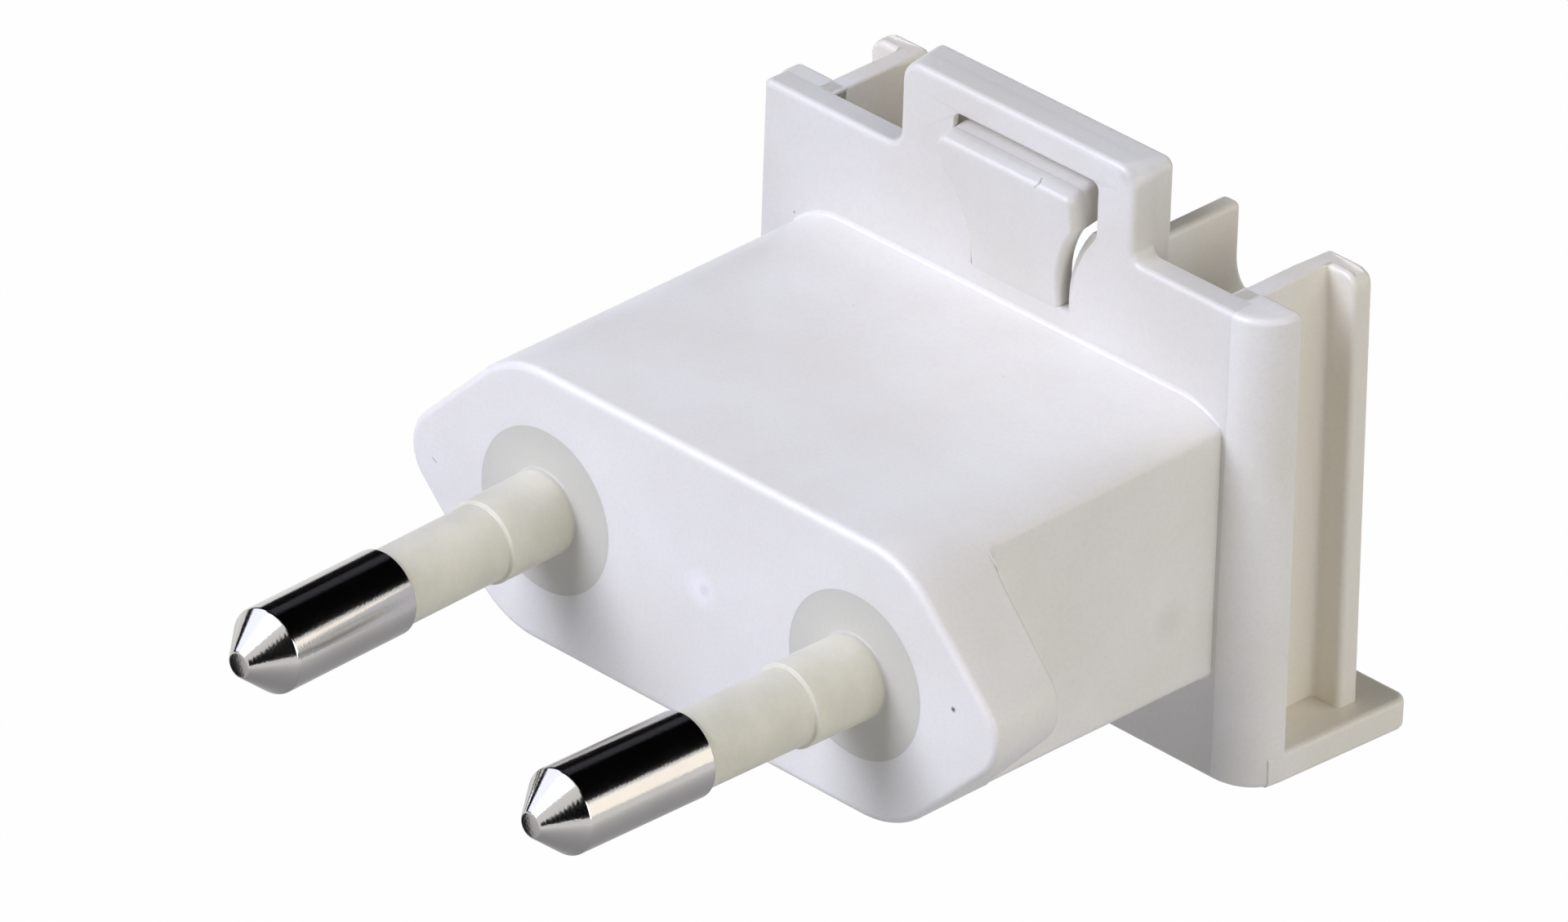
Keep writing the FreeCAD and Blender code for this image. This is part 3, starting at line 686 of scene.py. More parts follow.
def make_piece(name: str, shells: Sequence[Shell], finish: Finish, node: str) -> bpy.types.Object:
    """Join shells into one welded piece with true flats and smooth rounds, in place of a solid.

    Args:
        name: the piece's name.
        shells: vertices in millimetres and faces.
        finish: what the surface is made of.
        node: the solid that the piece stands for.

    Returns:
        The object.
    """
    starts = np.cumsum([0] + [len(points) for points, _ in shells[:-1]])
    points = np.concatenate([points for points, _ in shells]) * MM
    faces = [[i + int(start) for i in face] for start, (_, shell) in zip(starts, shells) for face in shell]
    mesh = bpy.data.meshes.new(name)
    mesh.from_pydata(points.tolist(), [], faces)
    work = bmesh.new()
    work.from_mesh(mesh)
    bmesh.ops.remove_doubles(work, verts=work.verts, dist=WELD)
    bmesh.ops.dissolve_degenerate(work, edges=work.edges, dist=NO_LENGTH)
    bmesh.ops.recalc_face_normals(work, faces=work.faces)
    work.to_mesh(mesh)
    work.free()
    mesh.shade_smooth()
    mesh.set_sharp_from_angle(angle=math.radians(SHARP_DEGREES))
    piece = put_in_scene(name, mesh)
    weighted = piece.modifiers.new("flats", "WEIGHTED_NORMAL")
    weighted.keep_sharp = True
    weighted.weight = 70
    mesh.materials.append(finish.material())
    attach(piece, BODY)
    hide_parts(node)
    log.info("%s: %d faces in %s", name, len(mesh.polygons), mesh.materials[0].name)
    return piece


# Housing

# Mouth of the pocket that cores the body out from behind: half width, half height, corner radius
CORE = (5.5, 4.7, 1.0)


@dataclass
class PlugBody:
    """The waisted block between face and slide plate, with room for the pin carrier's discs."""

    # Half height, X of the ridge where top meets flank, and X where the two flanks would meet
    face_corners: tuple[float, float, float] = (6.8, 12.153, 18.953)
    root_corners: tuple[float, float, float] = (6.95, 12.8, 16.6)
    face_ridge_radius: float = 5.0
    root_ridge_radius: float = 4.0
    side_radius: float = 2.3
    depth: float = 19.0
    wing_middle: float = 2.2
    wing_depth: float = 4.4
    wing_fade: float = 1.2
    waist_right: float = 12.85
    waist_left: float = 13.4
    waist_radius: float = 0.7
    waist_start: float = 6.5
    face_rim: float = 0.38
    wing_rim: float = 0.3
    root_radius: float = 0.25
    root_length: float = 0.12
    root_margin: float = 0.3
    root_fade: float = 2.5
    corner_softness: float = 0.35
    disc_side: float = 9.5
    disc_radius: float = 3.95
    seat_depth: float = 0.8
    core_front: float = 8.0

    def hexagon(self, top: float, ridge: float, vertex: float, ridge_radius: float) -> np.ndarray:
        """Flat top and bottom joined by two slanting flanks at each side, with rounded corners.

        Args:
            top: half height.
            ridge: X where the top meets a flank.
            vertex: X where the two flanks of a side would meet.
            ridge_radius: rounding of the ridge.

        Returns:
            The outline.
        """
        corners = [(ridge, -top, ridge_radius), (vertex, 0, self.side_radius), (ridge, top, ridge_radius),
                   (-ridge, top, ridge_radius), (-vertex, 0, self.side_radius), (-ridge, -top, ridge_radius)]
        return rounded_loop(corners, arc_parts=18, run_parts=20)

    def waist_limit(self, x: np.ndarray) -> np.ndarray:
        """Half width of the waist on the side that each X lies on."""
        return np.where(x > 0, self.waist_right, self.waist_left)

    def waist(self, loop: np.ndarray, extra: float) -> np.ndarray:
        """Hold a loop's sides in to the waist plus an extra width.

        The soft minimum of width w and limit m mixes them by s = 0.5 + 0.5 * (m - w) / softness, held
        between 0 and 1, and takes softness * s * (1 - s) / 2 off.

        Args:
            loop: the body's outline at a depth.
            extra: width left beyond the waist.

        Returns:
            The narrowed outline.
        """
        limit = self.waist_limit(loop[:, 0]) + extra
        wide = np.abs(loop[:, 0])
        soft = self.corner_softness
        share = np.clip(0.5 + 0.5 * (limit - wide) / soft, 0, 1)
        held = limit * (1 - share) + wide * share - soft * share * (1 - share) / 2
        return np.column_stack((np.sign(loop[:, 0]) * held, loop[:, 1]))

    def rings(self) -> np.ndarray:
        """Sections from the face's rim over wing, waist and root flare into the plate.

        Each section is the face outline mixed with the root outline by its depth. The rims are
        quarter arcs. The flare at the root goes length * (1 - sin t) from the plate and widens the
        section by radius * (1 - cos t), fading out towards the waisted sides.

        Returns:
            The sections, shape (sections, points, 3).
        """
        face = self.hexagon(*self.face_corners, self.face_ridge_radius)
        root = self.hexagon(*self.root_corners, self.root_ridge_radius)
        across = side_middles(face)[:, 0]
        limit = self.waist_limit(across)
        wing = np.clip((np.abs(across) - limit) / self.wing_fade, 0, 1)
        flare = np.clip((limit - self.root_margin - np.abs(across)) / self.root_fade, 0, 1) ** 0.5
        quarter = np.linspace(0, math.pi / 2, 7)

        def section(depth: float) -> np.ndarray:
            """The body's outline at a depth, before waist and rims."""
            return blend(face, root, depth / self.depth)

        made = []
        for t in quarter:
            depth = self.face_rim * (1 - math.cos(t))
            made.append(ring(inset(section(depth), self.face_rim * (1 - math.sin(t))), depth))
        made.append(ring(section(self.wing_middle), self.wing_middle))
        for t in quarter:
            depth = self.wing_depth - self.wing_rim * (1 - math.sin(t))
            made.append(ring(inset(section(depth), wing * self.wing_rim * (1 - math.cos(t))), depth))
        for t in quarter:
            depth = self.wing_depth + self.waist_radius * (1 - math.cos(t))
            made.append(ring(self.waist(section(depth), self.waist_radius * (1 - math.sin(t))), depth))
        for depth in np.linspace(self.waist_start, self.depth - self.root_length, 6):
            made.append(ring(self.waist(section(depth), 0), depth))
        for t in quarter[1:]:
            depth = self.depth - self.root_length * (1 - math.sin(t))
            flared = inset(section(depth), -flare * self.root_radius * (1 - math.cos(t)))
            made.append(ring(self.waist(flared, 0), depth))
        made.append(ring(made[-1][:, :2], self.depth + SINK))
        return np.stack(made)

    def shells(self) -> list[Shell]:
        """Make the skin, the face with two disc seats, and the core pocket behind.

        Returns:
            The shells.
        """
        rings = self.rings()
        back = float(rings[-1][0, 2])
        core = middle_box(*CORE)[::-1]
        seats, parts = [], []
        for side in Side:
            seat = circle(side.value * self.disc_side, 0, self.disc_radius)[::-1]
            seats.append(seat)
            parts += [skin(np.stack((ring(seat, 0), ring(seat, self.seat_depth))), face_xz),
                      lid([seat], self.seat_depth, face_xz)]
        return [skin(rings, face_xz), *parts,
                skin(np.stack((ring(core, back), ring(core, self.core_front))), face_xz),
                lid([core], self.core_front, face_xz),
                lid([rings[0][:, :2], *seats], 0, face_xz),
                lid([rings[-1][:, :2], core], back, face_xz)]

    def build(self) -> None:
        """Make the block."""
        make_piece("housing_body", self.shells(), WHITE_PLASTIC, "housing")


@dataclass
class Latch:
    """The springy tongue, and the window through the arch that follows its outline at a gap."""

    middle: float = 0.2
    head_half: float = 4.05
    neck_half: float = 2.7
    flare_radius: float = 6.5
    flare_level: float = 10.75
    head_level: float = 12.65
    pivot: float = 8.5
    root: float = 8.0
    top: float = 14.45
    corner: float = 0.4
    thickness: float = 1.05
    head_thickness: float = 2.05
    # The head's thick part starts inside the tongue and is a little smaller, so that the two don't weld
    head_sink: float = 0.4
    head_inset: float = 0.01
    underside: float = 12.3
    front: float = 18.92
    lean: float = 9.3
    # Gaps are measured on the right. On the left the tongue runs into the wall without one
    gap: float = 0.68
    gap_left: float = -0.03
    slit: float = 0.32
    slit_left: float = -0.03
    lip_top: float = 12.4
    window_bottom: float = 8.12
    rim: float = 0.25
    back_rim: float = 0.15
    head_rim: float = 0.2

    @property
    def slope(self) -> float:
        """How far the flare widens for each millimetre of height."""
        return (self.head_half - self.neck_half) / (self.head_level - self.flare_level)

    def flared(self, low: float, top: float, spread: float, slit: float = 0.0) -> list[Corner]:
        """List the corners of neck, curved flare and head, spread by a gap.

        Args:
            low: level of the lower end.
            top: level of the upper end.
            spread: how far the outline stands out from the tongue's.
            slit: where not zero, the outline stands out only so far below the lip.

        Returns:
            The corners, right side first.
        """
        near = slit or spread
        sink = math.tan(math.atan(self.slope) / 2)
        neck, head = self.neck_half + near, self.head_half + spread
        right = [(neck, low, 0.0), (neck, self.flare_level - near * sink, self.flare_radius - near)]
        if slit:
            meet = self.neck_half + (self.lip_top - self.flare_level + slit * sink) * self.slope + slit
            right += [(meet, self.lip_top, 0.0), (head, self.lip_top, 0.0)]
        else:
            right.append((head, self.head_level - spread * sink, 0.0))
        right.append((head, top, self.corner))
        return right + [(-x, y, radius) for x, y, radius in reversed(right)]

    def window(self, through: bool) -> np.ndarray:
        """Draw the window, whose left side is moved in to the tongue.

        Args:
            through: the narrower way through, else the recess in front.

        Returns:
            The loop, clockwise.
        """
        corners = self.flared(self.window_bottom, self.top + self.gap, self.gap, self.slit if through else 0.0)
        shift = self.slit - self.slit_left if through else self.gap - self.gap_left
        corners = [(x + shift, z, r) if x < 0 else (x, z, r) for x, z, r in corners]
        return (rounded_loop(corners, arc_parts=8) + np.array([self.middle, 0]))[::-1]

    def stand(self, a: np.ndarray, b: np.ndarray, depth: np.ndarray) -> np.ndarray:
        """Place points of the tongue, which leans forward about its pivot.

        Args:
            a: across.
            b: up from the pivot along the tongue.
            depth: behind the tongue's front.

        Returns:
            X, Y, Z.
        """
        lean = math.radians(self.lean)
        return np.stack((self.middle + a, self.front - b * math.sin(lean) + depth * math.cos(lean),
                         self.pivot + b * math.cos(lean) + depth * math.sin(lean)), -1)

    def build(self) -> None:
        """Make the tongue with its thicker head."""
        down = np.array([0, -self.pivot])
        outline = rounded_loop(self.flared(self.root, self.top, 0.0), arc_parts=8) + down
        rims = np.where(side_middles(outline)[:, 1] < self.root - self.pivot + NEAR, 0.0, self.rim)
        tongue = Slab(outline, 0, self.thickness, rim_low=rims, rim_high=self.back_rim, place=self.stand)
        reach = self.neck_half + (self.underside - self.flare_level) * self.slope
        half, top = self.head_half - self.head_inset, self.top - self.head_inset
        head = rounded_loop([(-reach, self.underside, 0.0), (reach, self.underside, 0.0),
                             (half, self.head_level, 0.0), (half, top, self.corner),
                             (-half, top, self.corner), (-half, self.head_level, 0.0)]) + down
        block = Slab(head, self.thickness - self.head_sink, self.head_thickness, rim_low=0.0,
                     rim_high=self.head_rim, place=self.stand)
        # The tongue takes the darker copy of the white plastic: painted shade
        make_piece("housing_latch_tongue", tongue.shells() + block.shells(), SHADED_WHITE_PLASTIC, "housing")


@dataclass
class SlidePlate:
    """The plate behind the body: thin wall, thicker arch and side posts."""

    latch: Latch = field(default_factory=Latch)
    front: float = 19.0
    wall_back: float = 20.25
    back: float = 21.35
    floor: float = -11.4
    stop_top: float = -9.8
    shoulder: float = 12.1
    right_top: float = 15.2
    right_floor: float = 15.5
    left_top: float = 15.5
    left_floor: float = 15.65
    left_corner: float = 0.4
    left_step: float = 0.1
    seam: float = 13.1
    right_radius: float = 2.0
    left_rim: float = 0.4
    arch_top: float = 16.55
    # Front and back values of the arch's right side and of its crown's rounding
    arch_right: tuple[float, float] = (7.05, 7.3)
    arch_left: float = 7.05
    arch_crown: tuple[float, float] = (1.1, 0.5)
    right_foot: float = 0.55
    left_foot: float = 0.75
    chamber_right: float = 11.93
    chamber_left: float = 12.33
    rim: float = 0.3
    ledge_depth: float = 0.3
    mouth_rim: float = 0.1
    mouth_edge: float = 0.03

    @property
    def wall_share(self) -> float:
        """The thin wall's share of the plate's thickness."""
        return (self.wall_back - self.front) / (self.back - self.front)

    def arch(self, share: float) -> list[Corner]:
        """Place the arch's upper corners.

        Args:
            share: depth as a share of the plate's thickness.

        Returns:
            The right corner, then the left one.
        """
        right = self.arch_right[0] + (self.arch_right[1] - self.arch_right[0]) * share
        crown = self.arch_crown[0] + (self.arch_crown[1] - self.arch_crown[0]) * share
        return [(right, self.arch_top, crown), (-self.arch_left, self.arch_top, crown)]

    def wall_loop(self, share: float) -> np.ndarray:
        """Draw the thin wall from the left side to the seam of the right post.

        Args:
            share: depth as a share of the plate's thickness.

        Returns:
            The loop.
        """
        right, left = self.arch(share)
        corners = [(-self.left_floor, self.floor, 0.0), (self.seam, self.floor, 0.0),
                   (self.seam, self.shoulder, 0.0), (right[0], self.shoulder, self.right_foot), right, left,
                   (-self.arch_left, self.shoulder, self.left_foot),
                   (-self.left_top, self.shoulder, self.left_corner)]
        return rounded_loop(corners, arc_parts=6)

    def rims(self, loop: np.ndarray, seams: Sequence[float]) -> np.ndarray:
        """Choose the rim radius of each side: none on a seam with a neighbour, more on the left side.

        Args:
            loop: the outline.
            seams: X of each upright seam.

        Returns:
            One radius for each side.
        """
        run = np.roll(loop, -1, 0) - loop
        middle = side_middles(loop)[:, 0]
        rims = np.full(len(loop), self.rim)
        upright = np.abs(run[:, 0]) < 0.02 * np.abs(run[:, 1]) + 1e-9
        for seam in seams:
            rims[upright & (np.abs(middle - seam) < 5 * NEAR)] = 0
        return np.where(middle < -self.left_top + NEAR, self.left_rim, rims)

    def wall(self) -> list[Shell]:
        """Make the thin wall over the whole front, with the latch window's recess and way through.

        Returns:
            The shells.
        """
        first, last = self.wall_loop(0), self.wall_loop(self.wall_share)
        ledge = self.front + self.ledge_depth
        recess, through, core = self.latch.window(False), self.latch.window(True), middle_box(*CORE)[::-1]
        slab = Slab(first, self.front, self.wall_back, last, self.rims(first, [self.seam]), 0.0)
        low = slab.rim_rings(self.front, 1, slab.rim_low)
        mouth = inset(recess, self.mouth_rim)
        return [skin(np.stack(low + [ring(last, self.wall_back)]), face_xz),
                skin(np.stack((ring(mouth, self.front),
                               ring(inset(recess, self.mouth_edge), self.front + self.mouth_edge),
                               ring(recess, self.front + self.mouth_rim), ring(recess, ledge))), face_xz),
                lid([recess[::-1], through], ledge, face_xz),
                skin(np.stack((ring(through, ledge), ring(through, self.wall_back))), face_xz),
                skin(np.stack((ring(core, self.front), ring(core, self.wall_back))), face_xz),
                lid([low[0][:, :2], mouth, core], self.front, face_xz),
                lid([last, through, core], self.wall_back, face_xz)]

    def arch_pad(self) -> list[Shell]:
        """Make the thicker middle with the arch, between the ribs.

        Returns:
            The shells.
        """
        loops = []
        for share in (self.wall_share, 1.0):
            right, left = self.arch(share)
            loops.append(rounded_loop([(-self.arch_left, self.stop_top, 0.0), (right[0], self.stop_top, 0.0),
                                       right, left], arc_parts=6))
        slab = Slab(loops[0], self.wall_back, self.back, loops[1], 0.0, self.rim,
                    holes=[self.latch.window(True), middle_box(*CORE)[::-1]])
        return slab.shells()

    def left_post(self) -> list[Shell]:
        """Make the thicker left side behind the wall, which stands out by a small step.

        Returns:
            The shells.
        """
        loop = rounded_loop([(-self.left_floor - self.left_step, self.floor, 0.0),
                             (-self.chamber_left, self.floor, 0.0), (-self.chamber_left, self.shoulder, 0.0),
                             (-self.left_top - self.left_step, self.shoulder, self.left_corner)])
        return Slab(loop, self.wall_back, self.back, None, 0.0, self.rims(loop, [])).shells()

    def right_post(self) -> list[Shell]:
        """Make the right side with its large front corner, as a plan carried up and leaning inwards.

        Returns:
            The shells.
        """
        upper = rounded_loop([(self.seam, self.front, 0.0), (self.right_top, self.front, self.right_radius),
                              (self.right_top, self.back, self.rim), (self.chamber_right, self.back, 0.0),
                              (self.chamber_right, self.wall_back, 0.0), (self.seam, self.wall_back, 0.0)],
                             arc_parts=10)
        out = np.clip((upper[:, :1] - self.seam) / (self.right_top - self.seam), 0, 1)
        lower = upper + out * np.array([self.right_floor - self.right_top, 0])
        x, y = side_middles(upper).T
        seam = (np.abs(x - self.seam) < NEAR / 10) | ((x < self.seam) & (y < self.back - NEAR))
        rims = np.where(seam, 0.0, self.rim)
        return Slab(lower, self.floor, self.shoulder, upper, rims, rims, place=plan_xy).shells()

    def build(self) -> None:
        """Make wall, arch and posts."""
        # Wall and arch take the darker copy of the white plastic as painted shade; the posts keep the plain white
        make_piece("housing_slide_plate", self.wall(), SHADED_WHITE_PLASTIC, "housing")
        make_piece("housing_arch_pad", self.arch_pad(), SHADED_WHITE_PLASTIC, "housing")
        make_piece("housing_side_posts", self.left_post() + self.right_post(), WHITE_PLASTIC, "housing")


@dataclass
class RearSlide:
    """Bottom stop, side webs with outward rails, and the inner ribs."""

    wall_back: float = 20.25
    plate_back: float = 21.35
    floor: float = -11.4
    stop_top: float = -9.8
    stop_right: float = 15.51
    stop_left: float = 15.66
    stop_back_half: float = 15.95
    stop_back: float = 28.8
    stop_corner: float = 0.7
    shoulder: float = 12.1
    shift: float = -0.2
    web_half: float = 13.13
    web_thickness: float = 1.0
    web_corner: float = 0.25
    web_rim: float = 0.12
    web_margin: float = 0.2
    rail_half: float = 14.8
    rail_thickness: float = 1.25
    rail_back: float = 26.8
    rail_taper: float = 0.4
    rail_corner: float = 0.8
    rib_out: float = 7.05
    rib_thickness: float = 1.0
    rib_top: float = 12.55
    rib_corner: float = 0.35
    rib_back: float = 26.0
    foot_back: float = 27.4
    foot_level: float = 8.5
    foot_radius: float = 3.6
    rim: float = 0.3

    def stop(self) -> list[Shell]:
        """Make the bottom stop. It starts inside the posts and widens to the rear.

        Returns:
            The shells.
        """
        post_edge = self.plate_back - self.rim
        loop = rounded_loop([(-self.stop_left + SINK, self.wall_back, 0.0),
                             (self.stop_right - SINK, self.wall_back, 0.0), (self.stop_right, post_edge, 0.0),
                             (self.stop_back_half, self.stop_back, self.stop_corner),
                             (-self.stop_back_half, self.stop_back, self.stop_corner),
                             (-self.stop_left, post_edge, 0.0)], arc_parts=10)
        rims = np.where(side_middles(loop)[:, 1] < self.wall_back + NEAR, 0.0, self.rim)
        return Slab(loop, self.floor, self.stop_top, None, rims, rims, place=plan_xy).shells()

    def rail(self, side: Side) -> list[Shell]:
        """Make the web and rail of one side: an L in plan, carried up.

        The rail's outer top corner is lowered by an arc, and its rear leans forward by the taper
        over the whole height.

        Args:
            side: which side.

        Returns:
            The shells.
        """
        web_out, rail_out = self.web_half, self.rail_half
        web_in = web_out - self.web_thickness
        rail_front = self.rail_back - self.rail_thickness
        loop = rounded_loop([(web_in, self.wall_back, 0.0), (web_out, self.wall_back, 0.0),
                             (web_out, rail_front, self.web_corner), (rail_out, rail_front, self.rim),
                             (rail_out, self.rail_back, self.rim), (web_in, self.rail_back, self.rim)],
                            arc_parts=5, run_parts=6)
        along = side_middles(loop)[:, 1]
        rims = np.where(along < rail_front - self.web_margin, self.web_rim, self.rim)
        rims[along < self.wall_back + NEAR] = 0.0

        def raised(a: np.ndarray, b: np.ndarray, depth: np.ndarray) -> np.ndarray:
            """Lower the outer corner, lean the rear and move to the side.

            Args:
                a: out from the middle.
                b: Y.
                depth: Z.

            Returns:
                X, Y, Z.
            """
            past = np.clip(a - (rail_out - self.rail_corner), 0, self.rail_corner)
            drop = self.rail_corner - np.sqrt(self.rail_corner ** 2 - past ** 2)
            height = (depth - self.stop_top) / (self.shoulder - self.stop_top)
            level = depth - drop * np.clip(height, 0, 1)
            behind = np.clip((b - self.plate_back) / (self.rail_back - self.plate_back), 0, 1)
            return np.stack((side.value * a + self.shift, b - self.rail_taper * behind * height, level), -1)

        return Slab(loop, self.stop_top - SINK, self.shoulder, None, 0.0, rims, place=raised).shells()

    def rib(self, side: Side) -> list[Shell]:
        """Make an inner rib: an upright rear edge that sweeps out at 45 degrees to its foot.

        Args:
            side: which side.

        Returns:
            The shells.
        """
        foot = self.stop_top - SINK
        sweep_end = self.foot_level - (self.foot_back - self.rib_back)
        loop = rounded_loop([(self.wall_back, foot, 0.0), (self.foot_back, foot, 0.0),
                             (self.foot_back, sweep_end, 0.0), (self.rib_back, self.foot_level, self.foot_radius),
                             (self.rib_back, self.rib_top, self.rib_corner), (self.wall_back, self.rib_top, 0.0)],
                            arc_parts=8)
        low, high = sorted((side.value * self.rib_out, side.value * (self.rib_out - self.rib_thickness)))
        rims = np.where(side_middles(loop)[:, 0] < self.wall_back + NEAR, 0.0, self.rim)
        return Slab(loop, low, high, None, rims, rims, place=side_yz).shells()

    def build(self) -> None:
        """Make stop, rails and ribs."""
        make_piece("housing_bottom_stop", self.stop(), WHITE_PLASTIC, "housing")
        for side in Side:
            make_piece(f"housing_rail_{side.word}", self.rail(side), WHITE_PLASTIC, "housing")
            make_piece(f"housing_rib_{side.word}", self.rib(side), WHITE_PLASTIC, "housing")


# Pins and their carrier


@dataclass
class PinSet:
    """Both pins with the cream carrier that insulates and holds them, and their contact strips."""

    spacing_face: float = 19.0
    spacing_tip: float = 17.9
    length: float = 18.9
    pin_radius: float = 2.0
    neck_radius: float = 1.5
    tip_length: float = 1.7
    tip_radius: float = 0.6
    sleeve_length: float = 10.0
    sleeve_gap: float = 0.02
    sleeve_radius: float = 1.8
    collar_length: float = 4.0
    collar_radius: float = 1.975
    collar_back: float = 0.4
    disc_radius: float = 3.953
    disc_proud: float = 0.004
    disc_back: float = 0.75
    fillet: float = 0.12
    # Half width, half height and corner radius of the bar inside, and its two depths
    bar: tuple[float, float, float] = (12.4, 3.2, 2.0)
    bar_depth: tuple[float, float] = (1.5, 4.3)
    wall_back: float = 20.25
    rivet_radius: float = 1.0
    rivet_head: float = 1.4
    rivet_height: float = 0.7
    play: float = 0.05
    strip_thickness: float = 0.35
    strip_width: float = 3.0
    strip_rim: float = 0.06
    # The strip's ends and bends: how far behind the wall, Z and radius
    strip_bends: tuple[Corner, ...] = ((0.0, 4.0, 0.0), (0.0, -5.0, 1.1), (2.4, -5.0, 1.1), (4.2, 1.5, 1.5),
                                       (3.1, 5.0, 0.0))

    @property
    def lean(self) -> float:
        """Slope of a pin's axis: X gained for each millimetre towards the rear."""
        return (self.spacing_face - self.spacing_tip) / 2 / self.length

    def turned(self, corners: Sequence[Corner], side: Side) -> Shell:
        """Turned piece on one pin's leaning axis, from (radius, Y along the axis, rounding) corners."""
        return lathe(rounded_profile(corners), side.value * self.spacing_face / 2, side.value * self.lean)

    def sleeve(self, side: Side) -> Shell:
        """Make the sleeve and collar of one pin.

        Args:
            side: which pin.

        Returns:
            The shell.
        """
        end = -self.sleeve_length + self.sleeve_gap
        return self.turned([(0.0, end, 0.0), (self.sleeve_radius, end, 0.06),
                            (self.sleeve_radius, -self.collar_length, 0.08),
                            (self.collar_radius, -self.collar_length, 0.1),
                            (self.collar_radius, self.collar_back, 0.0), (0.0, self.collar_back, 0.0)], side)

    def disc(self, side: Side) -> Shell:
        """Make the flush disc round a sleeve, with a small fillet up to its collar.

        At angle t the fillet is f * (1 - cos t) out from the collar and f * (1 - sin t) before the disc.

        Args:
            side: which pin.

        Returns:
            The shell.
        """
        turn = np.linspace(0, math.pi / 2, 5)
        reach = self.collar_radius + self.fillet * (1 - np.cos(turn))
        fillet = -self.disc_proud - self.fillet * (1 - np.sin(turn))
        inside = -2 * SINK
        radii = np.concatenate(([0.0, self.collar_radius - SINK], reach, [self.disc_radius] * 2, [0.0]))
        depths = np.concatenate(([inside, inside], fillet, [-self.disc_proud, self.disc_back, self.disc_back]))
        return lathe(np.column_stack((radii, depths)), side.value * self.spacing_face / 2, 0.0)

    def pin(self, side: Side) -> Shell:
        """Make a turned pin: flat tip, cone, bare length, and the riveted end behind the plate.

        Args:
            side: which pin.

        Returns:
            The shell.
        """
        shoulder = self.wall_back - self.play
        rivet = self.wall_back + self.strip_thickness + self.play
        end = rivet + self.rivet_height
        return self.turned([
            (0.0, -self.length, 0.0), (self.tip_radius, -self.length, 0.15),
            (self.pin_radius, -self.length + self.tip_length, 0.2), (self.pin_radius, -self.sleeve_length, 0.08),
            (self.neck_radius, -self.sleeve_length, 0.0), (self.neck_radius, shoulder, 0.0),
            (self.rivet_radius, shoulder, 0.0), (self.rivet_radius, rivet, 0.0), (self.rivet_head, rivet, 0.0),
            (self.rivet_head, rivet + self.rivet_height / 2, 0.25), (self.rivet_radius, end, 0.2),
            (0.0, end, 0.0)], side)

    def contact(self, side: Side) -> list[Shell]:
        """Make a bent strip: its path's points moved half a thickness to either side, carried across.

        Args:
            side: which pin.

        Returns:
            The shells.
        """
        half = self.strip_thickness / 2
        path = rounded_loop([(self.wall_back + half + behind, level, radius)
                             for behind, level, radius in self.strip_bends], arc_parts=10)
        run = np.gradient(path, axis=0)
        across = np.stack((-run[:, 1], run[:, 0]), 1) / np.linalg.norm(run, axis=1, keepdims=True)
        loop = np.concatenate((path + across * half, (path - across * half)[::-1]))
        middle = side.value * (self.spacing_face / 2 + self.wall_back * self.lean)
        low, high = middle - self.strip_width / 2, middle + self.strip_width / 2
        return Slab(loop, low, high, None, self.strip_rim, self.strip_rim, arc_parts=2, place=side_yz).shells()

    def build(self) -> None:
        """Make carrier, pins and contacts."""
        carrier = [shell for side in Side for shell in (self.sleeve(side), self.disc(side))]
        carrier += Slab(middle_box(*self.bar), *self.bar_depth).shells()
        make_piece("pin_carrier_sleeves", carrier, CREAM_PLASTIC, "pin_bridge")
        for side in Side:
            make_piece(f"plated_pin_{side.word}", [self.pin(side)], NICKEL_BRASS, f"{side.word}_pin")
            make_piece(f"contact_strip_{side.word}", self.contact(side), BRONZE_STRIP, f"{side.word}_contact")


# Studio


def direction(azimuth: float | np.ndarray, elevation: float | np.ndarray) -> np.ndarray:
    """Direction from the object: (sin a * cos e, -cos a * cos e, sin e).

    Args:
        azimuth: degrees, 0 in front of the face and 90 at the right.
        elevation: degrees above the pins' plane.

    Returns:
        The unit direction, with X, Y, Z on the last axis.
    """
    a, e = np.radians(azimuth), np.radians(elevation)
    return np.stack((np.sin(a) * np.cos(e), -np.cos(a) * np.cos(e), np.sin(e)), -1)


def sheet(name: str, points: np.ndarray, material: bpy.types.Material) -> bpy.types.Object:
    """Make an open sheet of quads over a grid of points.

    Args:
        name: the sheet's name.
        points: (rows, columns, 3) in metres.
        material: what it is made of.

    Returns:
        The object.
    """
    grid = np.arange(points.shape[0] * points.shape[1]).reshape(points.shape[:2])
    quads = np.stack((grid[:-1, :-1], grid[1:, :-1], grid[1:, 1:], grid[:-1, 1:]), -1).reshape(-1, 4)
    mesh = bpy.data.meshes.new(name)
    mesh.from_pydata(points.reshape(-1, 3).tolist(), [], quads.tolist())
    mesh.materials.append(material)
    return put_in_scene(name, mesh)


@dataclass(frozen=True)
class Lamp:
    """Soft rectangular lamp that faces the object: direction in degrees, sizes in metres, watts and tint."""

    name: str
    azimuth: float
    elevation: float
    distance: float
    width: float
    height: float
    power: float
    tint: str
    in_gloss: bool = True

    def build(self) -> None:
        """Place the lamp, turned to the object."""
        data = bpy.data.lights.new(self.name, "AREA")
        data.shape, data.size, data.size_y = "RECTANGLE", self.width, self.height
        data.energy, data.color = self.power, colour(self.tint)[:3]
        toward = Vector(direction(self.azimuth, self.elevation))
        lamp = put_in_scene(self.name, data)
        lamp.location = toward * self.distance
        lamp.visible_glossy = self.in_gloss
        lamp.rotation_mode = "QUATERNION"
        lamp.rotation_quaternion = toward.to_track_quat("Z", "Y")


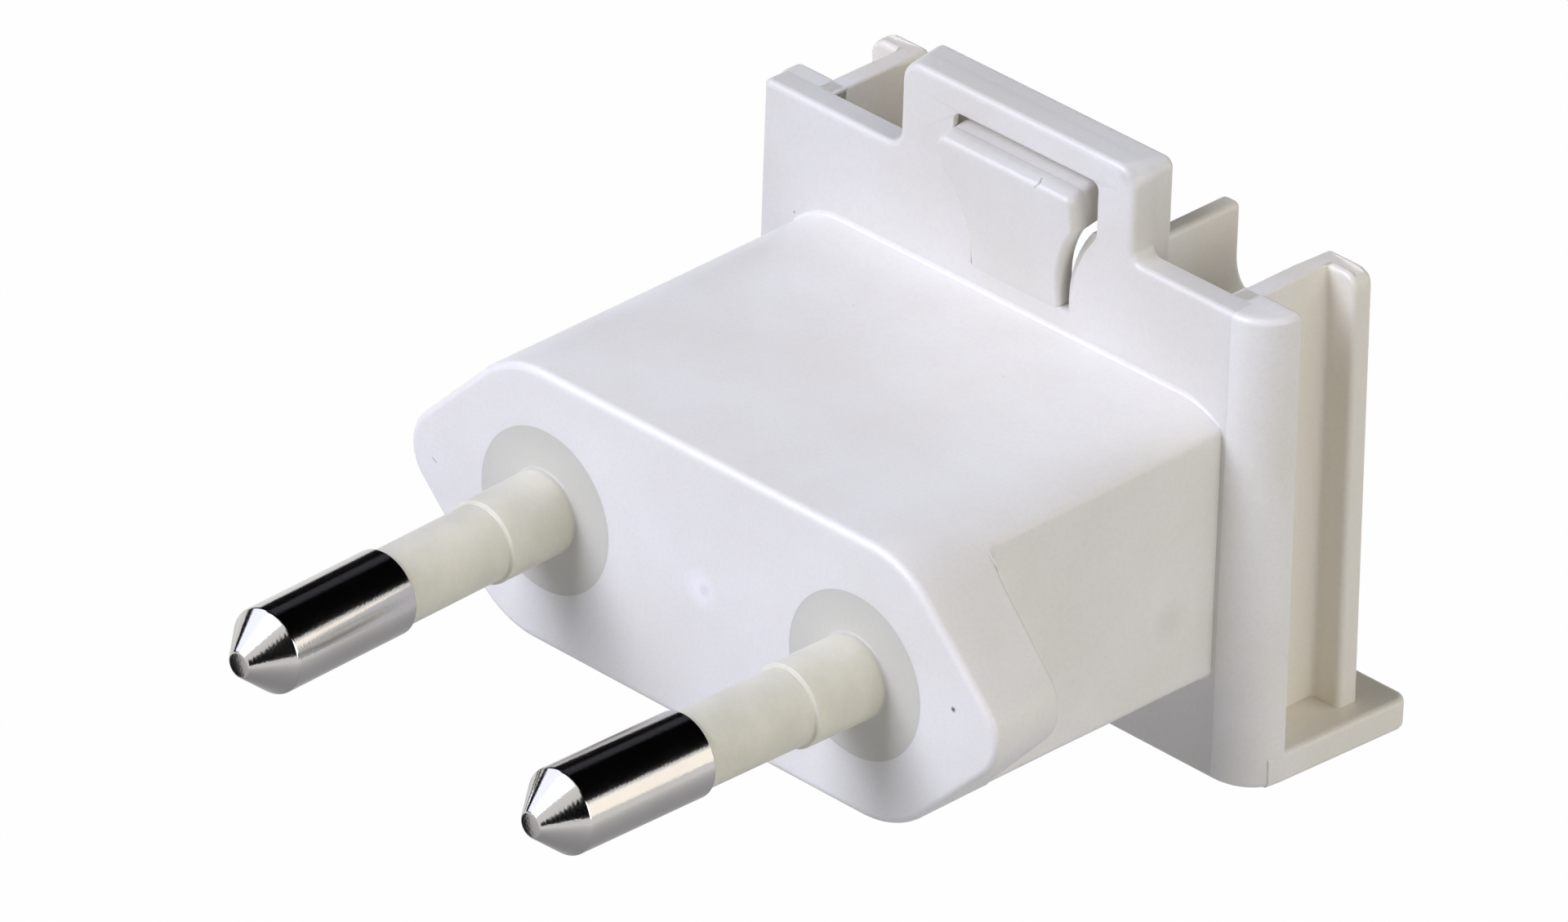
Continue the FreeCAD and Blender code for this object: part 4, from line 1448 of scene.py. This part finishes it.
@dataclass(frozen=True)
class Flag:
    """Curved studio card round the object, seen only in polished metal and gloss.

    It is a patch of a sphere: azimuth and elevation on a grid, each point the radius times its direction.
    """

    name: str
    azimuth: tuple[float, float]
    elevation: tuple[float, float]
    radius: float
    tone: str
    strength: float = 1.0

    def build(self) -> None:
        """Place the card."""
        azimuth, elevation = np.meshgrid(np.linspace(*self.azimuth, 25), np.linspace(*self.elevation, 13))
        made = bare_material(f"studio_card_{self.name}")
        tone = add(made.node_tree, "Emission", inputs={"Color": colour(self.tone), "Strength": self.strength})
        add(made.node_tree, "OutputMaterial", links={"Surface": tone.outputs[0]})
        card = sheet(self.name, self.radius * direction(azimuth, elevation), made)
        card.visible_camera = card.visible_diffuse = card.visible_shadow = card.visible_transmission = False


LAMPS = (
    Lamp("key_above_left", -22, 48, 0.35, 0.22, 0.16, 0.56, "#E3E8FF"),
    Lamp("key_front_left", -20, 35, 0.35, 0.22, 0.16, 0.8, "#E3E8FF"),
    Lamp("fill_left_high", -70, 35, 0.5, 0.3, 0.3, 0.6, "#E3E8FF"),
    Lamp("fill_right", 85, 15, 1.0, 0.7, 0.7, 3.6, "#FFFFFF"),
    Lamp("fill_right_rear", 125, 40, 0.8, 0.5, 0.5, 1.33, "#FFFFFF", in_gloss=False),
)
FLAGS = (
    Flag("dark_ceiling_behind", (75, 285), (27, 90), 1.3, "#040404"),
    Flag("grey_rail_behind", (206, 236), (33, 46), 1.25, "#44444A"),
    Flag("white_card_behind", (116, 150), (-15, 22), 1.25, "#FFF9F0", 1.7),
    Flag("dark_room_right", (38, 75), (-14, 60), 1.3, "#020202"),
    Flag("dark_room_left", (-92, -46), (4, 60), 1.3, "#0A0A0C"),
    Flag("dark_wall_left", (-160, -92), (9, 31), 1.3, "#141416"),
    Flag("dark_table_front", (-54, -38), (-38, -20), 0.12, "#101010"),
)


@dataclass
class Studio:
    """White surroundings, soft lamps and the camera."""

    azimuth: float = 44.0173
    elevation: float = 30.0194
    roll: float = 1.7904
    distance: float = 706.478
    aside: tuple[float, float] = (3.706, 5.681)
    lens: float = 375.0
    sensor: float = 36.0
    world_tone: str = "#F4F6FF"
    world_light: float = 0.07
    floor_level: float = -90.0
    floor_half: float = 4000.0
    floor_tone: str = "#C8C8C8"
    # How much of the floor is plain white to rays that see it. The rest is card, which takes the shadow
    floor_white: float = 0.985
    # The table as polished metal sees it: grey near the object, white from the far distance on
    table_tone: str = "#A0A0A4"
    table_span: tuple[float, float] = (80.0, 300.0)

    def camera(self) -> None:
        """Set a long lens at the photograph's angle, rolled and moved aside as the photograph is framed."""
        back = Vector(direction(self.azimuth, self.elevation))
        level = Vector(direction(self.azimuth + 90, 0.0))
        rise = back.cross(level)
        roll = math.radians(self.roll)
        right = level * math.cos(roll) + rise * math.sin(roll)
        up = rise * math.cos(roll) - level * math.sin(roll)
        data = bpy.data.cameras.new("camera")
        data.lens, data.sensor_width = self.lens, self.sensor
        data.clip_start, data.clip_end = 0.01, 20.0
        camera = put_in_scene("camera", data)
        place = (back * self.distance + right * self.aside[0] + up * self.aside[1]) * MM
        turn = Matrix((right, up, back)).transposed().to_4x4()
        camera.matrix_world = Matrix.Translation(place) @ turn
        bpy.context.scene.camera = camera

    def seen_white(self, tree: bpy.types.NodeTree) -> bpy.types.NodeSocket:
        """Tell the rays that see the surroundings directly or in gloss or glass.

        Args:
            tree: the floor's or world's nodes.

        Returns:
            1 for camera, glossy and transmission rays, else 0.
        """
        path = add(tree, "LightPath").outputs
        first = add(tree, "Math", {"operation": "ADD"},
                    links={0: path["Is Camera Ray"], 1: path["Is Glossy Ray"]}).outputs[0]
        return add(tree, "Math", {"operation": "ADD", "use_clamp": True},
                   links={0: first, 1: path["Is Transmission Ray"]}).outputs[0]

    def world(self) -> None:
        """Light evenly and weakly from all round, and show white where the world is looked at."""
        world = bpy.data.worlds.new("studio")
        bpy.context.scene.world = world
        world.use_nodes = True
        tree = world.node_tree
        tree.nodes.clear()
        light = add(tree, "Background", inputs={"Color": colour(self.world_tone), "Strength": self.world_light})
        white = add(tree, "Background", inputs={"Color": colour("#FFFFFF"), "Strength": 1.0})
        mixed = add(tree, "MixShader", links={0: self.seen_white(tree), 1: light.outputs[0],
                                              2: white.outputs[0]})
        add(tree, "OutputWorld", links={"Surface": mixed.outputs[0]})

    def floor(self) -> None:
        """Lay a matt card well below the object, so its soft shadow falls under the view.

        The camera sees it white, gloss sees the grey table, and a small part stays plain card.
        """
        step = np.linspace(-self.floor_half, self.floor_half, 9)
        x, y = np.meshgrid(step, step, indexing="ij")
        made = bare_material("matt_white_card")
        tree = made.node_tree
        card = add(tree, "BsdfPrincipled", inputs={"Base Color": colour(self.floor_tone), "Roughness": 0.9})
        where = add(tree, "TexCoord").outputs["Object"]
        away = add(tree, "VectorMath", {"operation": "LENGTH"}, links={0: where}).outputs["Value"]
        near, far = self.table_span
        share = add(tree, "MapRange", inputs={"From Min": near * MM, "From Max": far * MM},
                    links={"Value": away}).outputs[0]
        table = add(tree, "Mix", RGBA, {6: colour(self.table_tone), 7: colour("#FFFFFF")}, {0: share})
        glossy = add(tree, "LightPath").outputs["Is Glossy Ray"]
        tone = add(tree, "Mix", RGBA, {6: colour("#FFFFFF")}, {0: glossy, 7: table.outputs[2]})
        white = add(tree, "Emission", inputs={"Strength": 1.0}, links={"Color": tone.outputs[2]})
        seen = add(tree, "Math", {"operation": "MULTIPLY"}, {1: self.floor_white}, {0: self.seen_white(tree)})
        mixed = add(tree, "MixShader", links={0: seen.outputs[0], 1: card.outputs[0], 2: white.outputs[0]})
        add(tree, "OutputMaterial", links={"Surface": mixed.outputs[0]})
        floor = sheet("studio_floor", np.stack((x, y, np.full_like(x, self.floor_level)), -1) * MM, made)

    def build(self) -> None:
        """Set up everything round the object."""
        self.world()
        self.floor()
        for piece in (*LAMPS, *FLAGS):
            piece.build()
        self.camera()
        bpy.context.scene.view_settings.view_transform = "Standard"
        log.info("studio: %d lamps, %d cards, camera", len(LAMPS), len(FLAGS))


def main() -> None:
    """Build the plug head's sub-assemblies, then the studio."""
    logging.basicConfig(level=logging.INFO, format="%(name)s: %(message)s")
    PlugBody().build()
    SlidePlate().build()
    Latch().build()
    RearSlide().build()
    PinSet().build()
    Studio().build()


if __name__ == "__main__":
    main()
